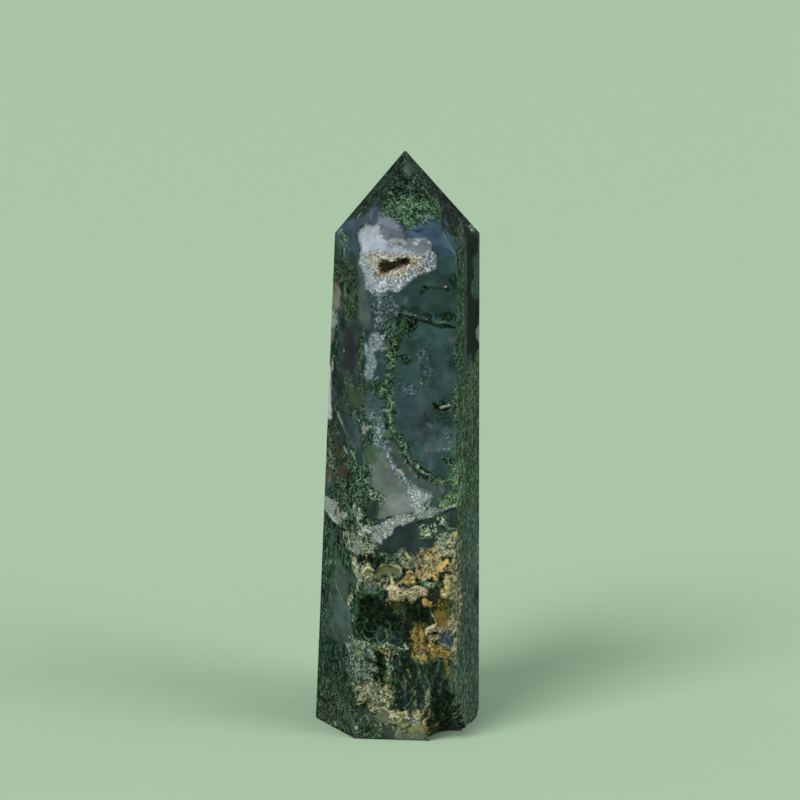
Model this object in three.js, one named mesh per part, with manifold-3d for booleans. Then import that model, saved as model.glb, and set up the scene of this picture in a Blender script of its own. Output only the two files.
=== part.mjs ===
// Moss agate point: a six-sided tower ground and polished from one stone, standing on its sawn base.
// Millimetres, +Z up. The origin is at the centre of the base, and the front facet looks along -Y.
import * as THREE from "three";
import { mergeVertices } from "three/addons/utils/BufferGeometryUtils.js";
import Module from "manifold-3d";

const wasm = await Module();
wasm.setup();

// Overall size. Every tip facet runs to the apex, which is a little off the centre of the base.
const HEIGHT = 90;
const APEX = new THREE.Vector3(1.2, 0.75, HEIGHT);
const ROUGH_WIDTH = 40; // the rough stone, before its facets are ground
const WHEEL = 200; // side of the block of stone that one grinding pass takes away

// The six sides. A facet faces so many degrees from +X, leans back from upright, and lies `reach` from the
// axis at the base.
const SIDES = {
  left: { facing: -148.6, lean: 2.8, reach: 11.24 },
  front: { facing: -95.5, lean: 1.2, reach: 11.23 },
  right: { facing: -15.6, lean: 0.5, reach: 12.03 },
  backRight: { facing: 24.0, lean: -0.4, reach: 12.14 },
  back: { facing: 92.9, lean: 1.4, reach: 11.7 },
  backLeft: { facing: 154.4, lean: 1.6, reach: 11.28 },
};

// The six facets of the tip. They are hand ground, so no two have quite the same slope.
const TIPS = {
  left: { facing: -161.0, lean: 37.5 },
  front: { facing: -76.8, lean: 43.6 },
  right: { facing: -18.0, lean: 37.7 },
  backRight: { facing: 29.0, lean: 39.5 },
  back: { facing: 90.0, lean: 35.0 },
  backLeft: { facing: 155.5, lean: 37.6 },
};

// The small hollow in the front facet: three rounded lobes side by side, given by the mouth that is left
// open once the crust of crystals lines it. `across` runs to the right along the facet, `up` is the height.
const VUG_FACET = SIDES.front;
const VUG_LOBES = [
  { across: -0.7, up: 73.9, wide: 1.5, tall: 2.1, deep: 2.2 },
  { across: 0.4, up: 74.4, wide: 1.5, tall: 1.1, deep: 1.6 },
  { across: 1.7, up: 74.8, wide: 2.0, tall: 1.5, deep: 2.0 },
];
const CRUST = 0.4; // thickness of the crust that the crystals grow from
const GAP = 0.3; // clearance between the crust and the stone
const CRUST_SETBACK = 0.12; // how far the crust stays below the polished face

// The crystals of the crust: rows from the mouth down into each lobe, and crystals round each row. A row's
// dip is the angle, in degrees, from the facet down to it, seen from the middle of the lobe's mouth.
const CRYSTAL_ROWS = 3;
const CRYSTALS_AROUND = 9;
const FIRST_DIP = 12;
const DIP_STEP = 24;
const DIP_SPREAD = 10; // degrees by which a crystal may lie deeper than its row
const PLACE_SPREAD = 0.4; // share of a place by which a crystal may be off its own
const CRYSTAL_RADIUS = 0.15;
const CRYSTAL_LENGTH = 0.5;
const SIZE_SPREAD = 0.25; // share by which a crystal may be smaller or larger
const CRYSTAL_ROOT = 0.2; // how deep a crystal is rooted in the crust
const SHAFT_SHARE = 0.55; // share of a crystal's length that is its shaft, below the point
const SHAFT_TAPER = 0.92; // width at the top of the shaft against that at its foot

// Two small pits beside the hollow, a little wider than they are tall.
const PIT_HEIGHT = 0.8; // against its width
const PITS = [
  { facet: SIDES.front, across: 3.3, up: 74.55, radius: 0.4 },
  { facet: SIDES.front, across: -2.25, up: 72.8, radius: 0.35 },
];

// The corner of the base between the front and right facets is broken away, and the corner to its right is
// worn. Each flake is a smooth scoop.
const FLAKES = [
  { centre: [8.8, -11.0, -0.8], radii: [4.0, 4.6, 4.8], turn: 0 },
  { centre: [11.4, -5.4, -0.4], radii: [1.5, 3.4, 1.2], turn: -14 },
  { centre: [12.9, 1.1, -0.3], radii: [0.9, 1.5, 1.3], turn: 0 },
];

// Nicks along the two upright edges of the outline.
const NICKS = [
  { at: [12.75, 1.97, 37.2], size: 0.34 },
  { at: [12.76, 1.91, 34.7], size: 0.26 },
  { at: [-12.3, -0.29, 13.2], size: 0.36 },
  { at: [-12.72, -0.54, 2.9], size: 0.34 },
];

// A closed geometry as a solid.
function solid(geometry) {
  const bare = geometry.clone();
  bare.deleteAttribute("normal");
  bare.deleteAttribute("uv");
  const merged = mergeVertices(bare, 1e-4);
  return new wasm.Manifold(
    new wasm.Mesh({
      numProp: 3,
      vertProperties: new Float32Array(merged.attributes.position.array),
      triVerts: new Uint32Array(merged.index.array),
    }),
  );
}

// A solid as a geometry with flat faces.
function geometryOf(made) {
  const mesh = made.getMesh();
  const indexed = new THREE.BufferGeometry();
  indexed.setAttribute("position", new THREE.BufferAttribute(mesh.vertProperties, 3));
  indexed.setIndex(new THREE.BufferAttribute(mesh.triVerts, 1));
  const flat = indexed.toNonIndexed();
  flat.computeVertexNormals();
  return flat;
}

// The frame of a facet at a point on it: X runs right along the facet, Y up it and Z out of it.
function facetFrame({ facing, lean, reach }, across, up) {
  const turn = THREE.MathUtils.degToRad(facing);
  const slope = THREE.MathUtils.degToRad(lean);
  const right = new THREE.Vector3(-Math.sin(turn), Math.cos(turn), 0);
  const outward = new THREE.Vector3(Math.cos(turn), Math.sin(turn), 0);
  const normal = outward.clone().multiplyScalar(Math.cos(slope));
  normal.z = Math.sin(slope);
  const along = normal.clone().cross(right);
  const point = outward.multiplyScalar(reach - up * Math.tan(slope));
  point.addScaledVector(right, across);
  point.z = up;
  return new THREE.Matrix4().makeBasis(right, along, normal).setPosition(point);
}

// Everything on the outer side of a plane, given as the frame of a facet.
function outerHalf(frame) {
  const block = new THREE.BoxGeometry(WHEEL, WHEEL, WHEEL);
  block.translate(0, 0, WHEEL / 2);
  return solid(block.applyMatrix4(frame));
}

// An ellipsoid with flat faces.
function lump(radii, detail = 2) {
  return new THREE.IcosahedronGeometry(1, detail).scale(...radii);
}

function groundTower() {
  const rough = new THREE.BoxGeometry(ROUGH_WIDTH, ROUGH_WIDTH, HEIGHT);
  rough.translate(0, 0, HEIGHT / 2);
  let tower = solid(rough);
  for (const side of Object.values(SIDES)) {
    tower = tower.subtract(outerHalf(facetFrame(side, 0, 0)));
  }
  for (const { facing, lean } of Object.values(TIPS)) {
    const frame = facetFrame({ facing, lean, reach: 0 }, 0, 0).setPosition(APEX);
    tower = tower.subtract(outerHalf(frame));
  }
  return tower;
}

// All the lobes of the hollow, each grown by `margin` on every side.
function vug(margin) {
  const lobes = VUG_LOBES.map(({ across, up, wide, tall, deep }) => {
    const radii = [wide / 2 + margin, tall / 2 + margin, deep + margin];
    return solid(lump(radii).applyMatrix4(facetFrame(VUG_FACET, across, up)));
  });
  return lobes.reduce((whole, lobe) => whole.add(lobe));
}

function pits() {
  return PITS.map(({ facet, across, up, radius }) =>
    solid(lump([radius, radius * PIT_HEIGHT, radius], 1).applyMatrix4(facetFrame(facet, across, up))),
  );
}

function flakes() {
  return FLAKES.map(({ centre, radii, turn }) => {
    const scoop = lump(radii, 3).rotateZ(THREE.MathUtils.degToRad(turn));
    return solid(scoop.translate(...centre));
  });
}

function nicks() {
  return NICKS.map(({ at, size }) => solid(new THREE.OctahedronGeometry(size).translate(...at)));
}

function stone() {
  const cuts = [vug(CRUST + GAP), ...pits(), ...flakes(), ...nicks()];
  return cuts.reduce((whole, cut) => whole.subtract(cut), groundTower());
}

// An even spread of numbers from 0 to 1 that looks random and is the same every time.
function scatter(index) {
  const value = Math.sin(index * 12.9898 + 4.1) * 43758.5453;
  return value - Math.floor(value);
}

// A six-sided crystal with a pointed end, standing on the origin along +Z.
function crystal(radius, length) {
  const shaftLength = length * SHAFT_SHARE;
  const shaft = new THREE.CylinderGeometry(radius * SHAFT_TAPER, radius, shaftLength, 6);
  shaft.rotateX(Math.PI / 2).translate(0, 0, shaftLength / 2);
  const point = new THREE.ConeGeometry(radius * SHAFT_TAPER, length - shaftLength, 6);
  point.rotateX(Math.PI / 2).translate(0, 0, (length + shaftLength) / 2);
  return [shaft, point];
}

// True where a point of the stone is inside another lobe's opening, so no crystal grows there.
function inOtherLobe(point, own) {
  return VUG_LOBES.some((lobe) => {
    if (lobe === own) {
      return false;
    }
    const local = point.clone().applyMatrix4(facetFrame(VUG_FACET, lobe.across, lobe.up).invert());
    local.divide(new THREE.Vector3(lobe.wide / 2, lobe.tall / 2, lobe.deep));
    return local.length() < 1;
  });
}

// The direction from the middle of a lobe's mouth to one of its crystals, in the facet's frame.
function crystalDirection(row, place, seed) {
  const offset = (row % 2) / 2 + scatter(seed) * PLACE_SPREAD;
  const round = ((place + offset) / CRYSTALS_AROUND) * 2 * Math.PI;
  const dip = THREE.MathUtils.degToRad(FIRST_DIP + DIP_STEP * row + DIP_SPREAD * scatter(seed + 0.3));
  return new THREE.Vector3(
    Math.cos(round) * Math.cos(dip),
    Math.sin(round) * Math.cos(dip),
    -Math.sin(dip),
  );
}

// The crystals on the wall of one lobe, pointing into the hollow.
function crystalsOf(lobe, lobeIndex) {
  const frame = facetFrame(VUG_FACET, lobe.across, lobe.up);
  const radii = new THREE.Vector3(lobe.wide / 2, lobe.tall / 2, lobe.deep);
  const grown = [];
  for (let row = 0; row < CRYSTAL_ROWS; row += 1) {
    for (let place = 0; place < CRYSTALS_AROUND; place += 1) {
      const seed = (lobeIndex * CRYSTAL_ROWS + row) * CRYSTALS_AROUND + place;
      const root = crystalDirection(row, place, seed);
      const inward = root.clone().divide(radii).normalize().negate();
      root.multiply(radii).addScaledVector(inward, -CRYSTAL_ROOT);
      if (inOtherLobe(root.clone().applyMatrix4(frame), lobe)) {
        continue;
      }
      const radius = CRYSTAL_RADIUS * (1 + SIZE_SPREAD * (2 * scatter(seed + 0.6) - 1));
      const length = CRYSTAL_LENGTH * (1 + SIZE_SPREAD * (2 * scatter(seed + 0.9) - 1));
      const turned = new THREE.Quaternion().setFromUnitVectors(new THREE.Vector3(0, 0, 1), inward);
      const stand = new THREE.Matrix4().compose(root, turned, new THREE.Vector3(1, 1, 1));
      stand.premultiply(frame);
      grown.push(...crystal(radius, length).map((part) => solid(part.applyMatrix4(stand))));
    }
  }
  return grown;
}

// The crust with its crystals, clear of the stone and just below the polished face.
function vugCrystals() {
  const lining = vug(CRUST);
  const crust = lining.subtract(vug(0));
  const crystals = VUG_LOBES.flatMap(crystalsOf);
  const grown = crystals.reduce((whole, grain) => whole.add(grain), crust).intersect(lining);
  const face = facetFrame(VUG_FACET, 0, VUG_LOBES[0].up);
  face.multiply(new THREE.Matrix4().makeTranslation(0, 0, -CRUST_SETBACK));
  const bodies = grown.subtract(outerHalf(face)).decompose();
  return bodies.reduce((largest, body) => (body.volume() > largest.volume() ? body : largest));
}

function piece(name, made, color, roughness) {
  const material = new THREE.MeshStandardMaterial({ color, roughness, metalness: 0 });
  const mesh = new THREE.Mesh(geometryOf(made), material);
  mesh.name = name;
  return mesh;
}

const point = new THREE.Group();
point.add(piece("agate_point", stone(), 0x3f5149, 0.12));
point.add(piece("vug_crystals", vugCrystals(), 0xb49a66, 0.35));

export default point;
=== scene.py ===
"""Moss agate point: a polished six-sided tower of moss agate, on a plain pale sage floor."""

import math

import bmesh
import bpy
import numpy as np
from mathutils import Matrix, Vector


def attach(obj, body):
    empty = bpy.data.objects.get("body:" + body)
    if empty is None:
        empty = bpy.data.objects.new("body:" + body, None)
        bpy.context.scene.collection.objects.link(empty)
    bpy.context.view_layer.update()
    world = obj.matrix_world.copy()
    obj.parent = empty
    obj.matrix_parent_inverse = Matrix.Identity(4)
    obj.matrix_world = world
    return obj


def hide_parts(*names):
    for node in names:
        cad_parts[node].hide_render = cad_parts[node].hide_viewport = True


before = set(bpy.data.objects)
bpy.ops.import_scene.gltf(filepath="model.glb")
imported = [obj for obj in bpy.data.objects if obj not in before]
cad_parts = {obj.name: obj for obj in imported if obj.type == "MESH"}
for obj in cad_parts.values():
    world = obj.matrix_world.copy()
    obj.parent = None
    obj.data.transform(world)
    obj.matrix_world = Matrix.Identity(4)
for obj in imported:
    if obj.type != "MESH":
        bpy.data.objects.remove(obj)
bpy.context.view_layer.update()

# Lengths are in millimetres until a mesh is finished
MM = 0.001

# Facets of the tower: facing in degrees from +X, lean back in degrees, reach from the axis at the base
SIDES = (
    (-148.6, 2.8, 11.24),
    (-95.5, 1.2, 11.23),
    (-15.6, 0.5, 12.03),
    (24.0, -0.4, 12.14),
    (92.9, 1.4, 11.7),
    (154.4, 1.6, 11.28),
)
# Facets of the point, facing and lean back in degrees, all through the apex
TIPS = ((-161.0, 37.5), (-76.8, 43.6), (-18.0, 37.7), (29.0, 39.5), (90.0, 35.0), (155.5, 37.6))
APEX = np.array([1.2, 0.75, 90.0])
HEIGHT = 90.0
HALF_WIDTH = 12.8

# Finish of the cut stone
EDGE_ROUND = 0.28
EDGE_STRIPS = (-1.0, -0.5, 0.0, 0.5, 1.0)
ROUNDING_PASSES = 30
HOLLOW_DEPTH = 0.05
HOLLOW_PASSES = 5

# Spacing of the mesh, and which faces get the finer grids, by the parts of their normals
FRONT_GRID = 0.18
BACK_GRID = 0.54
SIDE_GRID = 1.1
FRONT_LIMIT = 0.05
SIDEWAYS_LIMIT, BACK_LIMIT = 0.7, -0.3
ON_FACET = 0.999

# Smallest lengths in millimetres, and angles in radians, that count
MERGE_DISTANCE = 0.001
CUT_DISTANCE = 1e-4
SLIVER = 0.003
FLAT_ANGLE = 0.0008
PARALLEL = 0.05
TINY = 1e-9


def outward(facing, lean):
    """Outward normal of a facet."""
    f, l = math.radians(facing), math.radians(lean)
    return np.array([math.cos(f) * math.cos(l), math.sin(f) * math.cos(l), math.sin(l)])


def facet_planes():
    """Normals and offsets of all facets and the sawn base."""
    normals = [outward(facing, lean) for facing, lean, reach in SIDES]
    offsets = [reach * math.cos(math.radians(lean)) for facing, lean, reach in SIDES]
    normals += [outward(facing, lean) for facing, lean in TIPS]
    offsets += [normal @ APEX for normal in normals[len(SIDES):]]
    normals.append(np.array([0.0, 0.0, -1.0]))
    offsets.append(0.0)
    return np.array(normals), np.array(offsets)


NORMALS, OFFSETS = facet_planes()


def facet_edges():
    """Each pair of facets that share an edge, with one end of it."""
    shared = []
    for i in range(len(NORMALS)):
        for j in range(i + 1, len(NORMALS)):
            along = np.cross(NORMALS[i], NORMALS[j])
            length = np.linalg.norm(along)
            if length < PARALLEL:
                continue
            along /= length
            start = np.linalg.solve([NORMALS[i], NORMALS[j], along], [OFFSETS[i], OFFSETS[j], 0.0])
            low, high = -2 * HEIGHT, 2 * HEIGHT
            for k in set(range(len(NORMALS))) - {i, j}:
                rate = NORMALS[k] @ along
                room = OFFSETS[k] - NORMALS[k] @ start
                if rate > TINY:
                    high = min(high, room / rate)
                elif rate < -TINY:
                    low = max(low, room / rate)
            if high - low > EDGE_ROUND:
                shared.append((i, j, start + along * low))
    return shared


def cut(bm, faces, point, normal):
    """Parts faces along a plane and returns all the pieces."""
    edges = {edge for face in faces for edge in face.edges}
    verts = {vert for edge in edges for vert in edge.verts}
    parted = bmesh.ops.bisect_plane(
        bm,
        geom=list(verts) + list(edges) + list(faces),
        dist=CUT_DISTANCE,
        plane_co=point,
        plane_no=normal,
    )
    return [part for part in parted["geom"] if isinstance(part, bmesh.types.BMFace)]


def slice_up(bm, faces, axis, places):
    """Parts faces at each place along an axis, the middle one first."""
    if not places or not faces:
        return
    middle = len(places) // 2
    point, normal = Vector(), Vector()
    point[axis], normal[axis] = places[middle], 1.0
    below, above = [], []
    for face in cut(bm, faces, point, normal):
        side = below if face.calc_center_bounds()[axis] < places[middle] else above
        side.append(face)
    slice_up(bm, below, axis, places[:middle])
    slice_up(bm, above, axis, places[middle + 1:])


def front_faces(bm):
    return [face for face in bm.faces if face.normal.y < FRONT_LIMIT]


def sideways_faces(bm):
    seen = [face for face in bm.faces if face.normal.y > BACK_LIMIT]
    return [face for face in seen if abs(face.normal.x) > SIDEWAYS_LIMIT]


def grid_stone(bm):
    """Gives the facets narrow strips along their edges and a fine grid, finer where they face front."""
    for i, j, end in facet_edges():
        across = NORMALS[i] - NORMALS[j]
        across /= np.linalg.norm(across)
        half_turn = math.acos(NORMALS[i] @ NORMALS[j]) / 2
        width = EDGE_ROUND * math.sin(half_turn)
        for share in EDGE_STRIPS:
            beside = [f for f in bm.faces if max(NORMALS[[i, j]] @ np.array(f.normal)) > ON_FACET]
            cut(bm, beside, Vector(end + across * width * share), Vector(across))
    rows, columns = (0.0, HEIGHT), (-HALF_WIDTH, HALF_WIDTH)
    for axis, (first, last) in ((2, rows), (0, columns)):
        slice_up(bm, bm.faces[:], axis, list(np.arange(first + BACK_GRID, last, BACK_GRID)))
        for part in (1, 2):
            start = first + part * FRONT_GRID
            slice_up(bm, front_faces(bm), axis, list(np.arange(start, last, BACK_GRID)))
    slice_up(bm, sideways_faces(bm), 1, list(np.arange(-HALF_WIDTH, HALF_WIDTH, SIDE_GRID)))


def depth_under_facets(points):
    """How far points lie under the nearest facet, in millimetres."""
    return (OFFSETS - points @ NORMALS.T).min(axis=1)


def round_edges(points):
    """Moves points on sharp edges onto the rounded ones, which a ball rolling inside would touch."""
    inner = points.copy()
    limits = OFFSETS - EDGE_ROUND
    steps = np.zeros((len(NORMALS),) + points.shape)
    for _ in range(ROUNDING_PASSES):
        for k, normal in enumerate(NORMALS):
            back = inner + steps[k]
            over = np.maximum(back @ normal - limits[k], 0.0)
            moved = back - over[:, None] * normal
            steps[k] = back - moved
            inner = moved
    away = points - inner
    distance = np.linalg.norm(away, axis=1)
    outside = distance > EDGE_ROUND
    rounded = points.copy()
    rounded[outside] = inner[outside] + away[outside] * (EDGE_ROUND / distance[outside])[:, None]
    return rounded


def merged_stone():
    """The stone's solid as one joined mesh in millimetres, its flat facets whole."""
    bm = bmesh.new()
    bm.from_mesh(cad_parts["agate_point"].data)
    bmesh.ops.scale(bm, vec=(1 / MM,) * 3, verts=bm.verts)
    bmesh.ops.remove_doubles(bm, verts=bm.verts, dist=MERGE_DISTANCE)
    bmesh.ops.dissolve_limit(bm, angle_limit=FLAT_ANGLE, verts=bm.verts, edges=bm.edges)
    return bm


def get_points(bm):
    return np.array([vert.co for vert in bm.verts])


def set_points(bm, points):
    for vert, point in zip(bm.verts, points):
        vert.co = point


def stone_mesh():
    """The finished shape of the stone."""
    bm = merged_stone()
    grid_stone(bm)
    bmesh.ops.dissolve_degenerate(bm, dist=SLIVER, edges=bm.edges)
    bm.verts.ensure_lookup_table()
    points = get_points(bm)
    hollow = depth_under_facets(points) > HOLLOW_DEPTH
    for _ in range(HOLLOW_PASSES):
        bmesh.ops.smooth_vert(
            bm, verts=[v for v, deep in zip(bm.verts, hollow) if deep], factor=0.5,
            use_axis_x=True, use_axis_y=True, use_axis_z=True,
        )
    set_points(bm, break_rim(round_edges(get_points(bm))))
    bmesh.ops.scale(bm, vec=(MM,) * 3, verts=bm.verts)
    mesh = bpy.data.meshes.new("moss_agate")
    bm.to_mesh(mesh)
    bm.free()
    mesh.shade_smooth()
    return mesh


def add_object(name, mesh):
    made = bpy.data.objects.new(name, mesh)
    bpy.context.scene.collection.objects.link(made)
    return made


# Camera, on the photograph's line of sight
CAMERA_PLACE = (0.42, -591.86, 198.72)
CAMERA_LENS, SENSOR_WIDTH = 178.74, 36.0
CAMERA_PITCH = 14.0
CAMERA_NEAREST = 0.01


def add_camera():
    data = bpy.data.cameras.new("camera")
    data.lens = CAMERA_LENS
    data.sensor_width = SENSOR_WIDTH
    data.clip_start = CAMERA_NEAREST
    camera = add_object("camera", data)
    camera.location = Vector(CAMERA_PLACE) * MM
    camera.rotation_euler = (math.radians(90.0 - CAMERA_PITCH), 0.0, 0.0)
    bpy.context.scene.camera = camera


def put(tree, kind, inputs=(), output=0, family="ShaderNode", **settings):
    """Adds a node with its settings and inputs, each a plain value or another node's output."""
    node = tree.nodes.new(family + kind)
    for name, value in settings.items():
        setattr(node, name, value)
    for name, value in dict(inputs).items():
        if isinstance(value, bpy.types.NodeSocket):
            tree.links.new(value, node.inputs[name])
        else:
            node.inputs[name].default_value = value
    return node.outputs[output]


def calculate(tree, operation, *values):
    return put(tree, "Math", enumerate(values), operation=operation)


def blend(tree, share, low, high, blend_type="MIX"):
    """Mixes two colours, each a plain value or another node's output."""
    inputs = {"Factor": share, 6: low, 7: high}
    return put(tree, "Mix", inputs, output=2, data_type="RGBA", blend_type=blend_type)


def new_material(name):
    """A node material, with its tree and its shader."""
    material = bpy.data.materials.new(name)
    material.use_nodes = True
    return material, material.node_tree, material.node_tree.nodes["Principled BSDF"]


# The floor: half its width in metres, its colour, and the darker one that the polish mirrors
FLOOR_REACH = 4.0
SAGE = (0.443, 0.594, 0.418, 1.0)
SAGE_IN_POLISH = (0.025, 0.04, 0.028, 1.0)


def add_floor():
    mesh = bpy.data.meshes.new("floor")
    corners = [(x * FLOOR_REACH, y * FLOOR_REACH, 0) for x, y in ((-1, -1), (1, -1), (1, 1), (-1, 1))]
    mesh.from_pydata(corners, [], [(0, 1, 2, 3)])
    floor = add_object("floor", mesh)
    material, tree, shader = new_material("sage floor")
    mirrored = put(tree, "LightPath", output="Is Glossy Ray")
    tone = blend(tree, mirrored, SAGE, SAGE_IN_POLISH)
    tree.links.new(tone, shader.inputs["Base Color"])
    shader.inputs["Roughness"].default_value = 0.9
    shader.inputs["Specular IOR Level"].default_value = 0.1
    mesh.materials.append(material)


# Lights: bearing in degrees from the front, positive to the right, height in degrees, strength, spread
LIGHTS = {
    "key light": (-41.0, 50.0, 1.85, 28.0),
    "side light": (63.0, 42.0, 0.8, 30.0),
    "low fill": (84.0, 12.0, 0.85, 60.0),
}
# The studio's own light, weaker where the polish mirrors it
STUDIO = (0.9, 1.0, 0.95, 1.0)
STUDIO_STRENGTH = 0.27
STUDIO_IN_POLISH = 0.07


def add_lights():
    for name, (bearing, height, strength, spread) in LIGHTS.items():
        data = bpy.data.lights.new(name, "SUN")
        data.energy = strength
        data.angle = math.radians(spread)
        light = add_object(name, data)
        light.rotation_euler = (math.radians(90.0 - height), 0.0, math.radians(bearing))
    world = bpy.data.worlds.new("studio")
    world.use_nodes = True
    tree = world.node_tree
    background = tree.nodes["Background"]
    background.inputs["Color"].default_value = STUDIO
    mirrored = put(tree, "LightPath", output="Is Glossy Ray")
    darker = STUDIO_IN_POLISH - STUDIO_STRENGTH
    strength = calculate(tree, "MULTIPLY_ADD", mirrored, darker, STUDIO_STRENGTH)
    tree.links.new(strength, background.inputs["Strength"])
    bpy.context.scene.world = world
    bpy.context.scene.view_settings.view_transform = "Standard"


# The stone is painted in millimetres across and up its front, and beyond the outline on round its sides
CENTRE = APEX[:2]
FRONT_OFFSET = 1.2
TABLE_STEP = 0.5
TABLE_TURN = np.radians(np.arange(-180.0, 181.0))
TABLE_UP = np.arange(0.0, HEIGHT + 0.1, TABLE_STEP)
LEAST_RATE = 0.01


def reach_table():
    """Distance from the axis to the facets for each height and turn of the tables."""
    level = NORMALS[:-1]
    ways = np.stack([np.sin(TABLE_TURN), -np.cos(TABLE_TURN)], axis=1)
    room = OFFSETS[:-1] - level[:, :2] @ CENTRE - TABLE_UP[:, None] * level[:, 2]
    rate = ways @ level[:, :2].T
    reach = np.where(rate > LEAST_RATE, room[:, None] / np.maximum(rate, LEAST_RATE), np.inf)
    return np.maximum(reach.min(axis=2), 0.0)


REACH = reach_table()


def girth_table():
    """Length round the stone from the middle of its front, for each height and turn."""
    x, y = REACH * np.sin(TABLE_TURN), REACH * np.cos(TABLE_TURN)
    steps = np.hypot(np.diff(x, axis=1), np.diff(y, axis=1))
    girth = np.concatenate([np.zeros((len(TABLE_UP), 1)), np.cumsum(steps, axis=1)], axis=1)
    return girth - girth[:, [len(TABLE_TURN) // 2]] + FRONT_OFFSET


GIRTH = girth_table()


def unrolled(points):
    """Places of points round and up the stone; the base goes on downwards."""
    rel = points[:, :2] - CENTRE
    turn = np.degrees(np.arctan2(rel[:, 0], -rel[:, 1])) + 180.0
    column = np.clip(turn.astype(int), 0, len(TABLE_TURN) - 2)
    height = points[:, 2] / TABLE_STEP
    row = np.clip(height.astype(int), 0, len(TABLE_UP) - 2)
    right, above = turn - column, height - row
    low = GIRTH[row, column] * (1 - right) + GIRTH[row, column + 1] * right
    high = GIRTH[row + 1, column] * (1 - right) + GIRTH[row + 1, column + 1] * right
    inwards = (OFFSETS[:-1] - points @ NORMALS[:-1].T).min(axis=1)
    up = np.where(points[:, 2] < 0.01, -inwards, points[:, 2])
    return np.stack([low * (1 - above) + high * above, up], axis=1)


def from_front(places):
    """Turns places seen from the front into places round the stone."""
    turned = []
    for x, z in places:
        row = min(max(int(round(z / TABLE_STEP)), 0), len(TABLE_UP) - 2)
        seen = CENTRE[0] + REACH[row] * np.sin(TABLE_TURN)
        first, last = seen.argmin(), seen.argmax()
        past = min(x - seen[first], 0.0) + max(x - seen[last], 0.0)
        turned.append((np.interp(x, seen[first:last + 1], GIRTH[row, first:last + 1]) + past, z))
    return np.array(turned)


def smooth_step(value):
    share = np.clip(value, 0.0, 1.0)
    return share * share * (3.0 - 2.0 * share)


# The soft noise: its lattice, how each finer layer fades and is moved aside, and its strength
LATTICE = 32
LAYER_FADE, LAYER_SHIFT = 0.6, 7.3
CLOUD_GAIN = 1.6


def cloud(points, size, seed, octaves=4):
    """Soft noise around zero, its largest lumps of the given size in millimetres."""
    values = np.random.default_rng(seed).random((LATTICE,) * 3) - 0.5
    total = np.zeros(len(points))
    for octave in range(octaves):
        scaled = points * 2.0 ** octave / size + LAYER_SHIFT * octave
        cell = np.floor(scaled).astype(int)
        part = smooth_step(scaled - cell)
        for corner in np.ndindex(2, 2, 2):
            weight = np.where(corner, part, 1.0 - part).prod(axis=1)
            total += values[tuple(((cell + corner) % LATTICE).T)] * weight * LAYER_FADE ** octave
    return total * CLOUD_GAIN


def smooth_curve(places, closed, parts=4):
    """Places along a smooth curve through the given ones."""
    if closed:
        ring = np.concatenate([places[-1:], places, places[:2]])
    else:
        ring = np.concatenate([places[:1], places, places[-1:]])
    t = np.arange(parts)[None, :, None] / parts
    p0, p1, p2, p3 = (ring[k:len(ring) - 3 + k][:, None] for k in range(4))
    curve = 2 * p1 + (p2 - p0) * t + (2 * p0 - 5 * p1 + 4 * p2 - p3) * t ** 2
    curve = (curve + (3 * p1 - p0 - 3 * p2 + p3) * t ** 3) / 2
    curve = curve.reshape(-1, 2)
    return curve if closed else np.concatenate([curve, places[-1:]])


def distance_to(places, starts, ends):
    """Distance of places to the nearest of some straight stretches."""
    along = ends - starts
    rel = places[:, None] - starts
    share = (rel * along).sum(axis=2) / np.maximum((along ** 2).sum(axis=1), TINY)
    rel -= np.clip(share, 0.0, 1.0)[..., None] * along
    return np.sqrt((rel ** 2).sum(axis=2).min(axis=1))


def is_inside(places, starts, ends):
    """Whether places lie inside a closed outline."""
    x, z = places[:, :1], places[:, 1:]
    spans = (starts[:, 1] > z) != (ends[:, 1] > z)
    rise = ends[:, 1] - starts[:, 1]
    rise = np.where(np.abs(rise) < TINY, TINY, rise)
    crossing = starts[:, 0] + (z - starts[:, 1]) * (ends[:, 0] - starts[:, 0]) / rise
    return ((x < crossing) & spans).sum(axis=1) % 2 == 1


# How strongly the studio lights the front facet, so that a colour seen there gives the stone's own
LIT = np.array([0.70, 0.79, 0.70])


def stone_colour(seen):
    """The stone's own linear colour behind a seen one, given in sRGB out of 255."""
    share = np.array(seen) / 255.0
    return np.where(share < 0.04045, share / 12.92, ((share + 0.055) / 1.055) ** 2.4) / LIT


# How far outlines wander in millimetres and the size of their waves, on the side in the photo and past it
WANDER, WAVE = 0.28, 2.6
HIDDEN_WANDER, HIDDEN_WAVE = 6.0, 7.0
FAR_LEFT, FAR_RIGHT = -17.0, 12.5
# Width of an area's edge and how ragged it is, for plain looks and for patterned ones
SOFT_EDGE, CRISP_EDGE = 0.9, 0.5
SOFT_RAGGED, CRISP_RAGGED = 0.35, 0.8
# Size and strength of the beads that lines break into, and sizes of the fraying
BEAD_SIZE, BEAD_GAIN = 0.6, 4.0
FRAY_SIZE, FINE_FRAY_SIZE = 1.1, 0.36
# Scattered threads: step and width in millimetres, ragged edge, and how length and strength vary
HAIR_STEP, HAIR_WIDTH, HAIR_RAGGED = 0.25, 0.14, 0.05
HAIR_LENGTHS, HAIR_STRENGTHS = (0.4, 1.4), (0.4, 1.0)


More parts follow.
